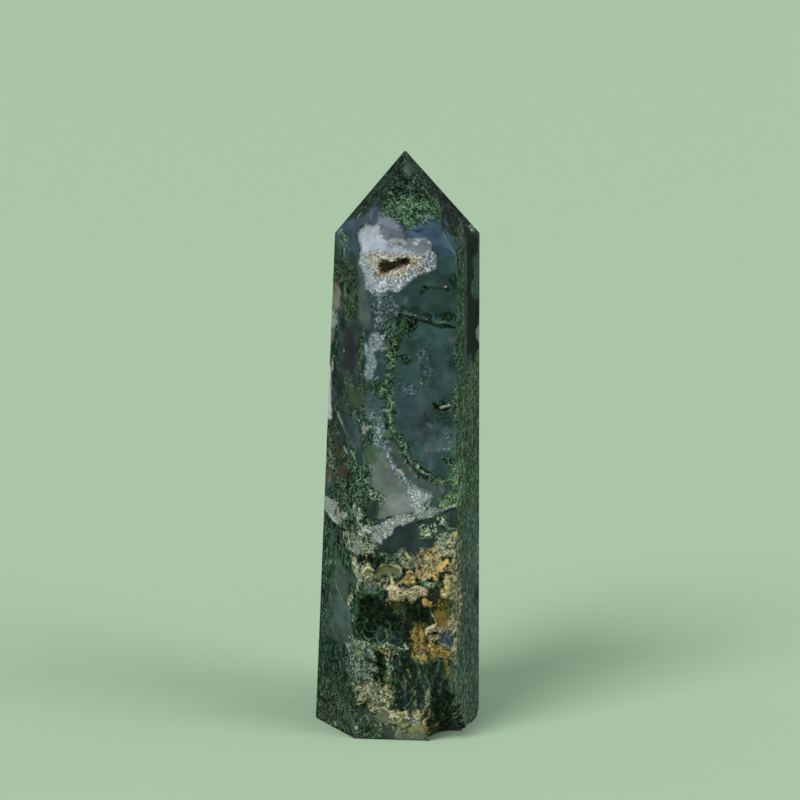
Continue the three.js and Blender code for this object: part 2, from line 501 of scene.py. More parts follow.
class Paint:
    """The looks laid on the stone's points: two colours and the strength of four patterns."""

    def __init__(self, points):
        self.points = points
        wander = [cloud(points, WAVE, seed, octaves=3) for seed in (1, 2)]
        self.places = unrolled(points) + WANDER * np.stack(wander, axis=1)
        across = self.places[:, 0]
        hidden = smooth_step((across - FAR_RIGHT) / 6) + smooth_step((FAR_LEFT - across) / 4)
        roam = np.stack([cloud(points, HIDDEN_WAVE, seed, octaves=5) for seed in (31, 32)], axis=1)
        self.places += HIDDEN_WANDER * hidden[:, None] * roam
        self.coat = np.zeros((len(points), 10))
        self.beads = cloud(points, BEAD_SIZE, seed=8, octaves=2) * BEAD_GAIN
        self.fray = cloud(points, FRAY_SIZE, seed=3) + 0.5 * cloud(points, FINE_FRAY_SIZE, seed=4, octaves=2)

    def lay(self, look, share, chosen=slice(None)):
        """Covers the chosen points by the given share."""
        body, figure, *patterns = LOOKS[look]
        missing = [0.0] * (4 - len(patterns))
        coat = np.concatenate([stone_colour(body), stone_colour(figure), patterns, missing])
        self.coat[chosen] += (coat - self.coat[chosen]) * np.reshape(share, (-1, 1))

    def near(self, places, margin):
        low, high = places.min(axis=0) - margin, places.max(axis=0) + margin
        return np.flatnonzero(((self.places > low) & (self.places < high)).all(axis=1))

    def fill(self, look, chosen, depth, edge, ragged, share):
        """Covers points by how far inside a shape they lie."""
        depth = depth + ragged * self.fray[chosen]
        self.lay(look, share * smooth_step(depth / edge + 0.5), chosen)

    def area(self, look, *outline, edge=None, ragged=None, share=1.0):
        """Covers the inside of a smooth outline; plain looks fade out softly at its edge."""
        plain = not any(LOOKS[look][2:])
        edge = edge or (SOFT_EDGE if plain else CRISP_EDGE)
        ragged = ragged or (SOFT_RAGGED if plain else CRISP_RAGGED)
        loop = smooth_curve(from_front(outline), closed=True)
        chosen = self.near(loop, edge + ragged)
        places, ends = self.places[chosen], np.roll(loop, -1, axis=0)
        side = np.where(is_inside(places, loop, ends), 1.0, -1.0)
        depth = side * distance_to(places, loop, ends)
        self.fill(look, chosen, depth, edge, ragged, share)

    def line(self, look, width, *route, edge=0.2, ragged=0.2, share=1.0, beads=0.0):
        """Covers a strip of a width along a smooth route, broken into beads where asked."""
        self.stroke(look, smooth_curve(from_front(route), closed=False), width, edge, ragged, share, beads)

    def stroke(self, look, route, width, edge, ragged, share, beads=0.0):
        """Covers a strip along places round the stone."""
        chosen = self.near(route, width + edge + ragged)
        away = distance_to(self.places[chosen], route[:-1], route[1:])
        if beads:
            share = share * smooth_step(0.5 + beads * self.beads[chosen])
        self.fill(look, chosen, width / 2 - away, edge, ragged, share)

    def spot(self, look, x, z, wide, tall, edge=0.2, ragged=0.12, share=1.0):
        """Covers an oval, given by its middle and its half sizes."""
        middle = from_front([(x, z)])[0]
        chosen = self.near(middle[None], max(wide, tall) + edge + ragged)
        rel = (self.places[chosen] - middle) / (wide, tall)
        depth = (1.0 - np.sqrt((rel ** 2).sum(axis=1))) * min(wide, tall)
        self.fill(look, chosen, depth, edge, ragged, share)

    def hairs(self, looks, *outline, density=1.5, length=1.2, turn=90.0, spread=40.0, curl=25.0,
              share=0.8):
        """Scatters fine curling threads of some looks inside an outline, mainly turned one way."""
        loop = smooth_curve(from_front(outline), closed=True)
        low, high = loop.min(axis=0), loop.max(axis=0)
        draw = np.random.default_rng(int(1000 * np.abs(loop).sum()))
        starts = draw.uniform(low, high, (int(density * np.prod(high - low)), 2))
        starts = starts[is_inside(starts, loop, np.roll(loop, -1, axis=0))]
        for number, start in enumerate(starts):
            steps = int(max(2, length * draw.uniform(*HAIR_LENGTHS) / HAIR_STEP))
            way = np.radians(turn + draw.normal(0.0, spread) + np.cumsum(draw.normal(0.0, curl, steps)))
            walk = HAIR_STEP * np.cumsum(np.stack([np.cos(way), np.sin(way)], axis=1), axis=0)
            route = start + np.concatenate([np.zeros((1, 2)), walk - walk[steps // 2]])
            self.stroke(looks[number % len(looks)], route[1:], HAIR_WIDTH, HAIR_WIDTH, HAIR_RAGGED,
                        share * draw.uniform(*HAIR_STRENGTHS))


# Looks of the stone: body and figure colours out of 255, then how much moss, grain, lace and streaks,
# with the last ones left out where there are none
LOOKS = {
    "tip moss": ((6, 19, 14), (56, 86, 62), 0.42, 0, 0, 0.1),
    "bright moss": ((12, 34, 14), (76, 112, 74), 0.58),
    "tip slate": ((43, 65, 59), (58, 81, 74)),
    "deep green": ((9, 27, 17), (30, 50, 36), 0.3),
    "black spot": ((5, 14, 9), (16, 30, 20), 0.2),
    "night": ((4, 15, 11), (48, 70, 58), 0.3, 0, 0, 0.3),
    "blue wedge": ((42, 68, 74), (56, 82, 90)),
    "slate blue": ((50, 68, 76), (68, 88, 98)),
    "quartz spot": ((38, 54, 56), (92, 110, 108), 0, 0.5),
    "lilac": ((80, 92, 98), (108, 119, 128)),
    "steel": ((40, 62, 72), (62, 86, 98)),
    "pink grey": ((94, 102, 106), (118, 124, 127)),
    "white quartz": ((168, 180, 190), (202, 212, 222), 0, 0.3),
    "milky quartz": ((138, 152, 158), (176, 186, 190), 0, 0.4),
    "sugary quartz": ((118, 131, 132), (164, 175, 177), 0, 0.6),
    "ochre stain": ((162, 154, 124), (197, 190, 164), 0, 0.5),
    "low quartz": ((124, 139, 143), (162, 174, 178), 0, 0.5),
    "grainy slate": ((48, 65, 65), (92, 108, 107), 0, 0.45),
    "teal": ((36, 60, 56), (58, 84, 78)),
    "deep teal": ((31, 50, 47), (50, 73, 68)),
    "streaky teal": ((46, 68, 67), (92, 113, 113), 0, 0.35, 0, 0.35),
    "lilac slate": ((38, 54, 52), (56, 74, 74)),
    "brown grey": ((58, 73, 69), (76, 91, 87)),
    "pale slate": ((62, 82, 82), (92, 113, 113), 0, 0.5),
    "green clump": ((12, 32, 22), (62, 90, 72), 0.5),
    "dark vein": ((6, 22, 14), (44, 68, 54), 0.35),
    "green band": ((10, 29, 16), (60, 92, 60), 0.48, 0, 0, 0.1),
    "pale lobe": ((104, 122, 119), (140, 156, 155), 0, 0.5),
    "misty moss": ((44, 66, 55), (108, 132, 118), 0.5),
    "left moss": ((31, 46, 31), (70, 88, 66), 0.52),
    "grey strip": ((58, 77, 72), (82, 101, 94)),
    "brown skin": ((70, 70, 60), (130, 130, 118)),
    "eye centre": ((40, 43, 45), (49, 52, 52)),
    "eye rim": ((32, 44, 44), (62, 77, 76)),
    "white skin": ((146, 163, 160), (186, 198, 196)),
    "left net": ((36, 51, 42), (80, 104, 86), 0.15, 0, 0.42),
    "mid slate": ((22, 40, 33), (54, 73, 64)),
    "bluish column": ((70, 92, 86), (108, 129, 127), 0, 0.45),
    "net green": ((32, 52, 38), (60, 84, 66), 0.4, 0, 0.15),
    "red brown": ((54, 50, 38), (70, 64, 50)),
    "warm grey": ((86, 102, 91), (104, 121, 110)),
    "warm beige": ((80, 91, 81), (98, 110, 100)),
    "warm light": ((100, 113, 104), (120, 134, 125)),
    "olive slate": ((52, 70, 52), (74, 94, 70)),
    "grey slate": ((50, 70, 68), (76, 96, 96)),
    "leaf slate": ((54, 80, 56), (78, 104, 76)),
    "milky column": ((88, 107, 110), (124, 142, 146), 0, 0.42),
    "cream slate": ((78, 88, 66), (150, 156, 126), 0, 0, 0.4),
    "band cream": ((126, 120, 88), (182, 176, 146), 0, 0.3, 0.35),
    "tan cell": ((132, 112, 62), (190, 168, 112), 0, 0.3, 0.3),
    "ochre cell": ((142, 130, 78), (200, 186, 132), 0, 0.3, 0.35),
    "ochre streak": ((104, 92, 36), (140, 124, 60), 0, 0, 0, 0.3),
    "grey quartz": ((76, 90, 92), (140, 152, 152), 0, 0.5),
    "ice white": ((114, 129, 127), (142, 157, 155), 0, 0.45),
    "dull brown": ((55, 69, 64), (72, 88, 82)),
    "leaf green": ((54, 86, 50), (112, 146, 104), 0.55),
    "left green": ((19, 43, 23), (96, 123, 96), 0.45, 0, 0.1),
    "pink white": ((122, 134, 124), (178, 186, 180), 0, 0.3),
    "vein white": ((118, 132, 120), (168, 180, 169), 0, 0.4),
    "navy": ((28, 44, 42), (46, 64, 60)),
    "lacy column": ((66, 88, 68), (164, 178, 160), 0, 0.2, 0.5),
    "low green": ((20, 38, 29), (74, 112, 86), 0.3, 0, 0, 0.45),
    "lace green": ((36, 58, 39), (122, 141, 120), 0.1, 0, 0.5),
    "cream": ((118, 130, 102), (170, 176, 150), 0, 0.2, 0.4),
    "ochre lace": ((62, 66, 34), (150, 148, 104), 0, 0, 0.45),
    "olive": ((72, 86, 48), (98, 112, 70)),
    "cream lace": ((60, 80, 56), (166, 178, 148), 0, 0, 0.45),
    "cream arc": ((112, 124, 88), (178, 182, 148), 0, 0.2, 0.42),
    "cream band": ((98, 98, 62), (176, 175, 144), 0, 0.3, 0.5),
    "ochre": ((118, 108, 54), (190, 178, 120), 0, 0.35, 0.4),
    "dark gap": ((30, 38, 24), (58, 64, 44), 0.3),
    "smooth ochre": ((88, 74, 26), (122, 106, 50)),
    "low cream": ((122, 112, 76), (176, 168, 134), 0, 0.3, 0.4),
    "black green": ((7, 21, 8), (38, 62, 38), 0.25, 0, 0, 0.3),
    "ochre column": ((84, 78, 28), (166, 148, 84), 0, 0, 0.4, 0.2),
    "rust": ((52, 50, 8), (116, 108, 48), 0, 0.3, 0.3),
    "dark fibre": ((14, 28, 15), (56, 70, 48), 0.15, 0, 0, 0.36),
    "pale lace": ((40, 60, 40), (126, 146, 124), 0.1, 0, 0.42),
    "fern": ((34, 62, 34), (66, 95, 60), 0.5),
    "green lace": ((46, 68, 46), (134, 156, 128), 0.1, 0, 0.5),
    "beige": ((66, 80, 61), (120, 131, 106), 0, 0, 0.1),
    "tan smear": ((84, 87, 46), (146, 150, 112)),
    "low lace": ((46, 58, 38), (130, 138, 108), 0, 0, 0.42),
    "dark base": ((25, 42, 25), (96, 118, 96), 0.3, 0, 0.25),
    "side green": ((22, 42, 28), (92, 120, 100), 0.25, 0, 0, 0.42),
    "side slate": ((40, 58, 49), (72, 91, 76)),
    "side navy": ((27, 45, 39), (58, 77, 68)),
    "right moss": ((38, 62, 38), (88, 114, 86), 0.5, 0, 0, 0.15),
    "right strip": ((22, 40, 26), (88, 122, 94), 0.45, 0, 0, 0.2),
    "right slate": ((53, 77, 60), (106, 132, 110), 0.12, 0, 0, 0.42),
    "right brown": ((12, 19, 12), (28, 38, 32)),
    # A whitish painted sheen, standing in for a reflection on the right facet
    "right white": ((104, 120, 112), (136, 150, 144), 0, 0.4, 0, 0.2),
    "smooth quartz": ((156, 169, 177), (186, 198, 208)),
    "lilac quartz": ((92, 102, 106), (116, 125, 128)),
    "pink quartz": ((136, 143, 140), (162, 166, 160)),
    "ochre speck": ((104, 92, 50), (140, 128, 84)),
    "white grain": ((118, 134, 132), (164, 178, 174), 0, 0.55),
    "blue grain": ((72, 92, 90), (116, 134, 134), 0, 0.45),
    "ink blue": ((26, 42, 42), (50, 68, 68), 0, 0, 0, 0.3),
    "slate fibre": ((24, 40, 28), (60, 76, 60), 0.15, 0, 0, 0.4),
    "bright lace": ((66, 82, 54), (172, 176, 146), 0, 0, 0.45),
    "slate lilac": ((62, 72, 84), (100, 110, 118), 0, 0, 0, 0.3),
    "bead": ((128, 154, 128), (152, 174, 150)),
    "thread": ((142, 166, 144), (168, 188, 168)),
    # Pale green moss threads; also laid as painted highlights along facet edges
    "green thread": ((80, 114, 84), (100, 130, 98)),
    "cream thread": ((176, 170, 124), (203, 195, 150)),
    "ochre thread": ((176, 152, 84), (204, 180, 114)),
    # The hollow's ochre walls and its floor, darker with depth as painted shade
    "vug wall": ((84, 70, 28), (158, 136, 80), 0, 0.5),
    "shaded vug floor": ((30, 27, 10), (92, 80, 38), 0, 0.45),
}


def paint_ground(paint):
    """Natural layers all round: mossy chalcedony over dark green jasper with cream lace."""
    wide, broad, fine = (cloud(paint.points, size, seed) for size, seed in ((11.0, 5), (5.0, 6), (2.2, 7)))
    up = paint.points[:, 2] + 5.0 * wide
    paint.lay("teal", 1.0)
    paint.lay("lilac slate", smooth_step(1.5 * wide + 0.4))
    paint.lay("grainy slate", smooth_step(2.0 * broad))
    paint.lay("green band", smooth_step(2.0 - np.abs(broad + 0.5 * wide) * 14))
    paint.lay("left net", smooth_step(1.2 - np.abs(fine + 0.3) * 8) * 0.8)
    paint.lay("tip moss", smooth_step((up - 79.0) / 2))
    low = smooth_step((31.0 - up) / 3)
    paint.lay("low green", low)
    paint.lay("black green", low * smooth_step(2.5 * broad + 0.6))
    paint.lay("cream lace", low * smooth_step(1.5 - np.abs(fine + 0.2 * wide) * 8))
    paint.lay("ochre lace", low * smooth_step(3.0 * wide) * smooth_step(3.0 * fine))
    paint.lay("dark fibre", low * smooth_step(-4.0 * wide - 0.4))


def paint_tip(area, line, spot, hairs):
    """Mossy point with slate and steel-blue windows, and painted highlights on a ridge and a corner of its
    right facets.
    """
    area("tip moss", (-13, 76), (-11, 80), (-2, 92), (1.2, 92), (5, 92), (2.4, 86), (0, 81), (-6, 80))
    area("slate blue", (-2.6, 82.4), (-3.4, 82.4), (-4.4, 81.7), (-5.2, 80.7), (-6.1, 80), (-7.8, 79),
         (-11, 76.5), (-10, 73), (-6.3, 73), (-5.7, 79), (-3, 80.2), (-2.4, 82))
    spot("thread", -5.75, 80.55, 0.22, 0.2, share=0.7)
    spot("pink grey", -3.9, 81.1, 0.65, 0.55, edge=0.5, share=0.6)
    area("tip slate", (0.7, 86.5), (0.9, 87.8), (1.25, 89.3), (1.9, 88.2), (2.3, 86.7), (1.5, 86.4))
    area("deep green", (0.2, 85.7), (0.5, 86.7), (1.3, 86.7), (1.7, 86.1), (1.2, 85.6))
    spot("black spot", 1.2, 85.3, 0.35, 0.3)
    spot("green thread", 2.3, 85.7, 0.25, 0.2)
    line("green thread", 0.2, (-1.4, 84.6), (-0.9, 84.4))
    spot("black spot", -1.0, 84.15, 0.25, 0.2)
    line("green thread", 0.15, (-2.3, 81.8), (-2.6, 81.2), (-2.9, 80.5), share=0.6)
    area("lilac", (-2.6, 82.1), (-0.8, 82), (0.2, 81.2), (1, 80.1), (1.4, 78.8), (1, 77.9), (-0.4, 77.6),
         (-1.6, 77.9), (-2.3, 78.4), (-2.9, 79.4), (-2.9, 80.6))
    area("steel", (1.6, 79.8), (2.6, 80), (3.4, 80.6), (5, 80.8), (6.4, 80.2), (7.2, 78.6), (8.9, 76),
         (8.9, 73.6), (6.2, 73.4), (5.9, 75.3), (5.3, 77.9), (3, 78.6), (1.2, 78.5), edge=0.6)
    area("bright moss", (-2.4, 82.2), (-0.6, 82), (0.2, 81.2), (0.9, 80.2), (1.8, 79.75), (2.8, 80.1),
         (3.4, 81), (3.8, 81.6), (5, 81.5), (6, 80.6), (6.5, 80.9), (6.6, 82), (6.2, 83), (4.6, 83.6),
         (3.4, 84.1), (2.2, 83.7), (1.2, 84.2), (0, 84), (-1.4, 83.4))
    area("quartz spot", (3.4, 80.4), (3.8, 81.3), (5.2, 81.3), (5.6, 80.6), (4.6, 80.1))
    line("green thread", 0.25, (1.5, 79.95), (2, 79.85), (2.7, 80.15))
    spot("thread", 1.2, 82.65, 0.3, 0.18)
    area("night", (1.6, 90.5), (3.4, 87.4), (5.2, 84.6), (6.4, 82.6), (6.6, 80.4), (7.3, 78.6), (8.9, 76),
         (11, 75.4), (15, 75), (15, 79), (9, 88), (3, 93), edge=0.15, ragged=0.1)
    for step in range(6):
        line("right strip", 0.35, (3.4 + step, 86.4 - step), (5.2 + step, 85.4 - step),
             (7 + step, 83 - step), ragged=0.3, share=0.25)
    area("blue wedge", (6.75, 80.3), (7, 79.3), (7.6, 78.2), (8.1, 78.5), (7.6, 79.8), (7.1, 80.9))
    area("blue wedge", (7.3, 78.6), (7.9, 77.3), (8.9, 76.2), (9.6, 76.4), (8.8, 77.7), (7.8, 79))
    line("green band", 0.5, (6.8, 80.2), (8.2, 78.6), (9.9, 76.9))
    # Painted highlight: a thin light line along the ridge between the point's front and right facets
    line("green thread", 0.14, (6.5, 80.1), (7.15, 78.6), (7.8, 77.35), (8.8, 76), share=0.4)
    hairs(("green thread", "black spot"), (-2.4, 82.2), (1.8, 79.6), (3.4, 81), (6.6, 80.8), (6.2, 83.2),
          (2.2, 84.2), (-1.4, 83.6), density=5.4, length=1, spread=60, curl=45)
    hairs(("green thread",), (-6, 80.6), (1, 91), (2, 90), (4, 84), (-2, 83), density=0.9, length=1.2,
          turn=50, spread=30, curl=30, share=0.5)
    hairs(("green thread",), (2.2, 90), (13, 77.6), (13, 76.4), (8, 79), (4.4, 84), density=1.6, length=1.2,
          turn=-48, spread=14, curl=14, share=0.35)
    # Painted glint: a small white highlight on the corner at the top of the right facet
    spot("thread", 12.1, 77.7, 0.3, 0.2)
    spot("cream thread", 10.4, 76.9, 0.3, 0.2)


def paint_quartz(area, line, spot, hairs):
    """White quartz round the small hollow, stained ochre at its rim."""
    area("sugary quartz", (-3.05, 80.4), (-4.9, 79.7), (-5.75, 78.5), (-5.9, 77.5), (-5.6, 76.5),
         (-5.5, 75.6), (-5.6, 74.3), (-5.85, 73.7), (-5.3, 73), (-5, 72.3), (-4.85, 71), (-4.7, 69.9),
         (-3.2, 69.6), (-1.6, 70.3), (0.4, 70.6), (1.1, 71), (1.5, 71.6), (2.2, 72.4), (2.8, 72.9),
         (3.6, 73.1), (4.9, 73.3), (5.7, 73.6), (5.8, 74.5), (5.7, 75.2), (5.5, 76.2), (5.05, 76.8),
         (5.2, 77.6), (5.1, 78.3), (3, 78.6), (1.4, 78.2), (1, 77.1), (0.3, 77.7), (-0.45, 77.5), (-1, 77.6),
         (-1.8, 78), (-2.4, 78.6), (-2.6, 79.45), (-2.9, 80), edge=0.3, ragged=0.3)
    area("smooth quartz", (-3, 80.2), (-4.8, 79.5), (-5.5, 78.4), (-5.7, 77.4), (-5.4, 76.5), (-5.3, 75.6),
         (-4.4, 75.9), (-3.4, 76.4), (-2.2, 76.6), (-1.8, 77.6), (-2.5, 78.5), (-2.7, 79.4), edge=0.5,
         ragged=0.4)
    area("smooth quartz", (-2.1, 76.2), (-1.8, 77.4), (-0.8, 77.3), (0.2, 77.3), (1, 76.9), (2.2, 76.6),
         (2.1, 76), (0, 75.9), edge=0.5, ragged=0.4, share=0.75)
    area("lilac quartz", (0.9, 77.4), (1.2, 78.2), (3, 78.5), (5.1, 78.1), (5, 76.9), (3.4, 76.5), (2, 76.8),
         edge=0.4)
    area("pink quartz", (-1.1, 77.7), (-0.9, 78.4), (0.2, 78.6), (1.1, 78.3), (1.3, 77.5), (0.3, 77.8),
         edge=0.3, ragged=0.2)
    area("white quartz", (-2.85, 80.1), (-3.5, 79.8), (-3.9, 79.1), (-3.5, 78.3), (-2.85, 78.7), edge=0.3,
         ragged=0.2)
    spot("white quartz", -2.45, 78.5, 0.32, 0.24)
    spot("white quartz", -5.3, 78.1, 0.35, 0.6, share=0.7)
    line("white quartz", 0.16, (2.6, 77.75), (3, 77.65))
    line("white quartz", 0.16, (3, 78.4), (3.4, 78.35))
    spot("pink quartz", 4.8, 76.6, 0.3, 0.22)
    area("grey quartz", (2.6, 73.4), (2.8, 75.2), (3.6, 76), (5.2, 75.9), (5.6, 74.6), (5.5, 73.8),
         (4, 73.4), edge=0.6, share=0.8)
    area("ochre stain", (-4.3, 75.6), (-4.2, 74), (-3.2, 73.2), (-1.6, 72.6), (0.2, 72.9), (1.8, 73.5),
         (3, 74), (3.2, 75), (2.6, 75.9), (1, 76.1), (-1.2, 75.8), (-3, 76.2), edge=1.4, share=0.6)
    for x, z, size in ((-3.15, 75.7, 0.35), (-2.25, 75.35, 0.22), (0, 75.25, 0.22), (1.9, 75.5, 0.2),
                       (-3.1, 72.4, 0.25), (-2.2, 72.65, 0.22), (0.05, 73.1, 0.22), (1.6, 72.9, 0.2)):
        spot("ochre speck", x, z, size, 0.7 * size, share=0.75)
    line("ochre speck", 0.18, (2, 74.3), (2.3, 74.5), (2.55, 74.9))
    spot("vug wall", -3.35, 72.95, 0.22, 0.16)
    spot("vug wall", 1.7, 73.7, 0.2, 0.14)
    spot("lilac", 1.65, 74.1, 0.18, 0.14)
    area("white quartz", (-4.1, 71.6), (-3, 71.8), (-2.2, 71.3), (-2.8, 70.7), (-3.9, 70.9), edge=0.4,
         share=0.75)
    area("white quartz", (-0.8, 71.6), (0.4, 71.9), (1.2, 71.5), (0.4, 71.1), (-0.6, 71.1), edge=0.4,
         share=0.65)
    line("deep teal", 0.28, (5.35, 77.4), (5.9, 76), (6.15, 74.6), (5.95, 73.2), (5, 72.9), (3.4, 72.7),
         ragged=0.1, share=0.75)
    line("black spot", 0.28, (1.9, 79.7), (2.8, 79.5), (3.7, 79.75), share=0.7)
    area("grainy slate", (-3.8, 69.8), (-3.75, 67), (-3.9, 64.6), (-1.6, 64.4), (-0.3, 65.4), (0, 67),
         (-0.2, 69.5), (-1.4, 70.3), (-2.8, 70))
    line("pale lobe", 0.7, (-2.9, 69.9), (-2.7, 68), (-2.9, 66), edge=0.6, ragged=0.5, share=0.6)


def paint_upper_left(area, line, spot, hairs):
    """Left facet above the middle: moss clusters, an agate eye and a pale skin on the outline."""
    area("slate blue", (-14, 79), (-9, 78), (-5.9, 79.5), (-5.9, 73), (-6, 70), (-12, 71))
    area("mid slate", (-13, 75), (-5.6, 74), (-5.2, 66), (-5.4, 62), (-5.8, 57), (-13, 55), (-15, 65),
         edge=1)
    area("misty moss", (-8.7, 77.8), (-7.4, 77.6), (-7.3, 76.2), (-7.8, 75.2), (-8.4, 74.6), (-9.2, 75.2),
         (-9, 76.2))
    line("misty moss", 0.6, (-8.1, 75), (-8, 74.2), (-7.8, 73), ragged=0.3)
    area("left moss", (-9.7, 72.2), (-6.3, 72.3), (-5.9, 70), (-6.1, 67.5), (-5.9, 65.3), (-9.4, 65),
         (-9.9, 68))
    line("green thread", 0.15, (-8, 70), (-7.9, 68.6), (-7.8, 67.3), share=0.7)
    hairs(("green thread", "black spot"), (-9.6, 72.4), (-6.2, 72.4), (-6, 65.2), (-9.4, 65), density=4,
          length=1.2, turn=80, curl=35, share=0.7)
    area("grey strip", (-5.9, 75), (-4.9, 72.5), (-4.4, 69.5), (-4, 68), (-5.6, 65), (-5.9, 68), (-5.8, 71))
    area("brown skin", (-15, 69.5), (-9.2, 69.4), (-8.6, 67.6), (-9.1, 65.3), (-15, 65))
    area("pink white", (-14, 65), (-9.5, 65.1), (-9.2, 64), (-9.6, 62.6), (-14, 62.5))
    line("slate blue", 0.5, (-9, 65.6), (-8.9, 64.2), (-9.1, 62.7))
    area("brown skin", (-13, 62.7), (-9.8, 62.6), (-9.7, 61.2), (-10.1, 60), (-13, 60), share=0.8)
    area("eye rim", (-6.4, 65), (-5.85, 64.9), (-5.35, 63.4), (-5.9, 62.4), (-5.9, 60.2), (-6, 57.9),
         (-7.4, 55.4), (-8.9, 55.6), (-9.1, 58), (-8.9, 62.1), (-8, 63.2), (-7, 64.6))
    area("eye centre", (-7.85, 62.1), (-6.7, 63.7), (-6.4, 61.8), (-6.3, 59.5), (-6.5, 57.6), (-7.1, 56.7),
         (-8.2, 57), (-8.3, 58.8), (-8.1, 60.6))
    line("side slate", 0.2, (-8.9, 62.2), (-7.4, 63.4), (-6.4, 65), share=0.7)
    spot("thread", -8.1, 59.5, 0.18, 0.22, share=0.7)
    line("left moss", 0.8, (-9.4, 62.6), (-9.5, 60), (-9.3, 57.5), ragged=0.3)
    line("deep green", 0.5, (-9.6, 57.8), (-9.4, 55.5), (-9.5, 53))
    line("white skin", 0.35, (-9.8, 58), (-9.85, 57), (-9.9, 56))
    area("left green", (-5.75, 62.5), (-4.9, 62.2), (-4.75, 59), (-4.9, 55), (-5.7, 54.6), (-5.8, 58))
    line("green thread", 0.14, (-5.45, 61.9), (-5.5, 59), (-5.35, 56), share=0.8)
    spot("pale slate", -9, 74.6, 1.2, 1.8, edge=1, share=0.4)
    spot("thread", -5.05, 63.35, 0.2, 0.2)


def paint_upper_middle(area, line, spot, hairs):
    """Pale lobes of quartz between moss bands, left of the smooth teal window."""
    area("grey strip", (-5.5, 69), (-4.2, 68.5), (-3.9, 66), (-4, 64), (-5.3, 64), (-5.6, 66))
    line("dark vein", 0.22, (-3.9, 68.5), (-3.85, 66), (-4.05, 63.6), (-4.6, 62.6), share=0.7)
    area("deep teal", (-4.8, 64), (-0.2, 65), (0.2, 60), (0, 55), (-5, 54.5), (-5.2, 60))
    spot("deep green", -2.55, 64.65, 0.65, 0.6)
    area("low quartz", (-1.95, 65), (-1.6, 65.7), (-0.4, 65.7), (0, 65.1), (-0.8, 64.6), share=0.8)
    area("pale lobe", (-3.6, 63.9), (-0.7, 64.8), (-0.8, 63.5), (-1.3, 62.3), (-1.8, 61.5), (-2.7, 60.9),
         (-3.2, 60), (-3.2, 58.4), (-3.6, 56.6), (-4.6, 56.1), (-4.8, 58), (-4.7, 60), (-4.9, 61.6),
         (-4.4, 62.5))
    spot("thread", -4.25, 62.15, 0.22, 0.2)
    spot("milky quartz", -4.65, 61.3, 0.25, 0.35, share=0.8)
    spot("teal", -2.3, 60.0, 0.5, 1.0, edge=0.4)
    area("green band", (-1.5, 62.8), (1.7, 62.9), (1.9, 61), (0.8, 60), (-1.2, 59.8), (-1.7, 61.3))
    hairs(("green thread",), (-1.6, 66), (1.8, 67), (3.2, 66.4), (1.6, 61), (0.8, 57), (-1.6, 56),
          density=2.2, length=1, turn=60, spread=45, curl=40, share=0.6)
    for x in (-1.7, -1.35, -0.95):
        line("green band", 0.22, (x, 60), (x + 0.1, 58), (x - 0.05, 56.4), ragged=0.2)
    line("green band", 0.5, (-2.8, 55.5), (-1.9, 56.2), (-1, 56.5), ragged=0.3)


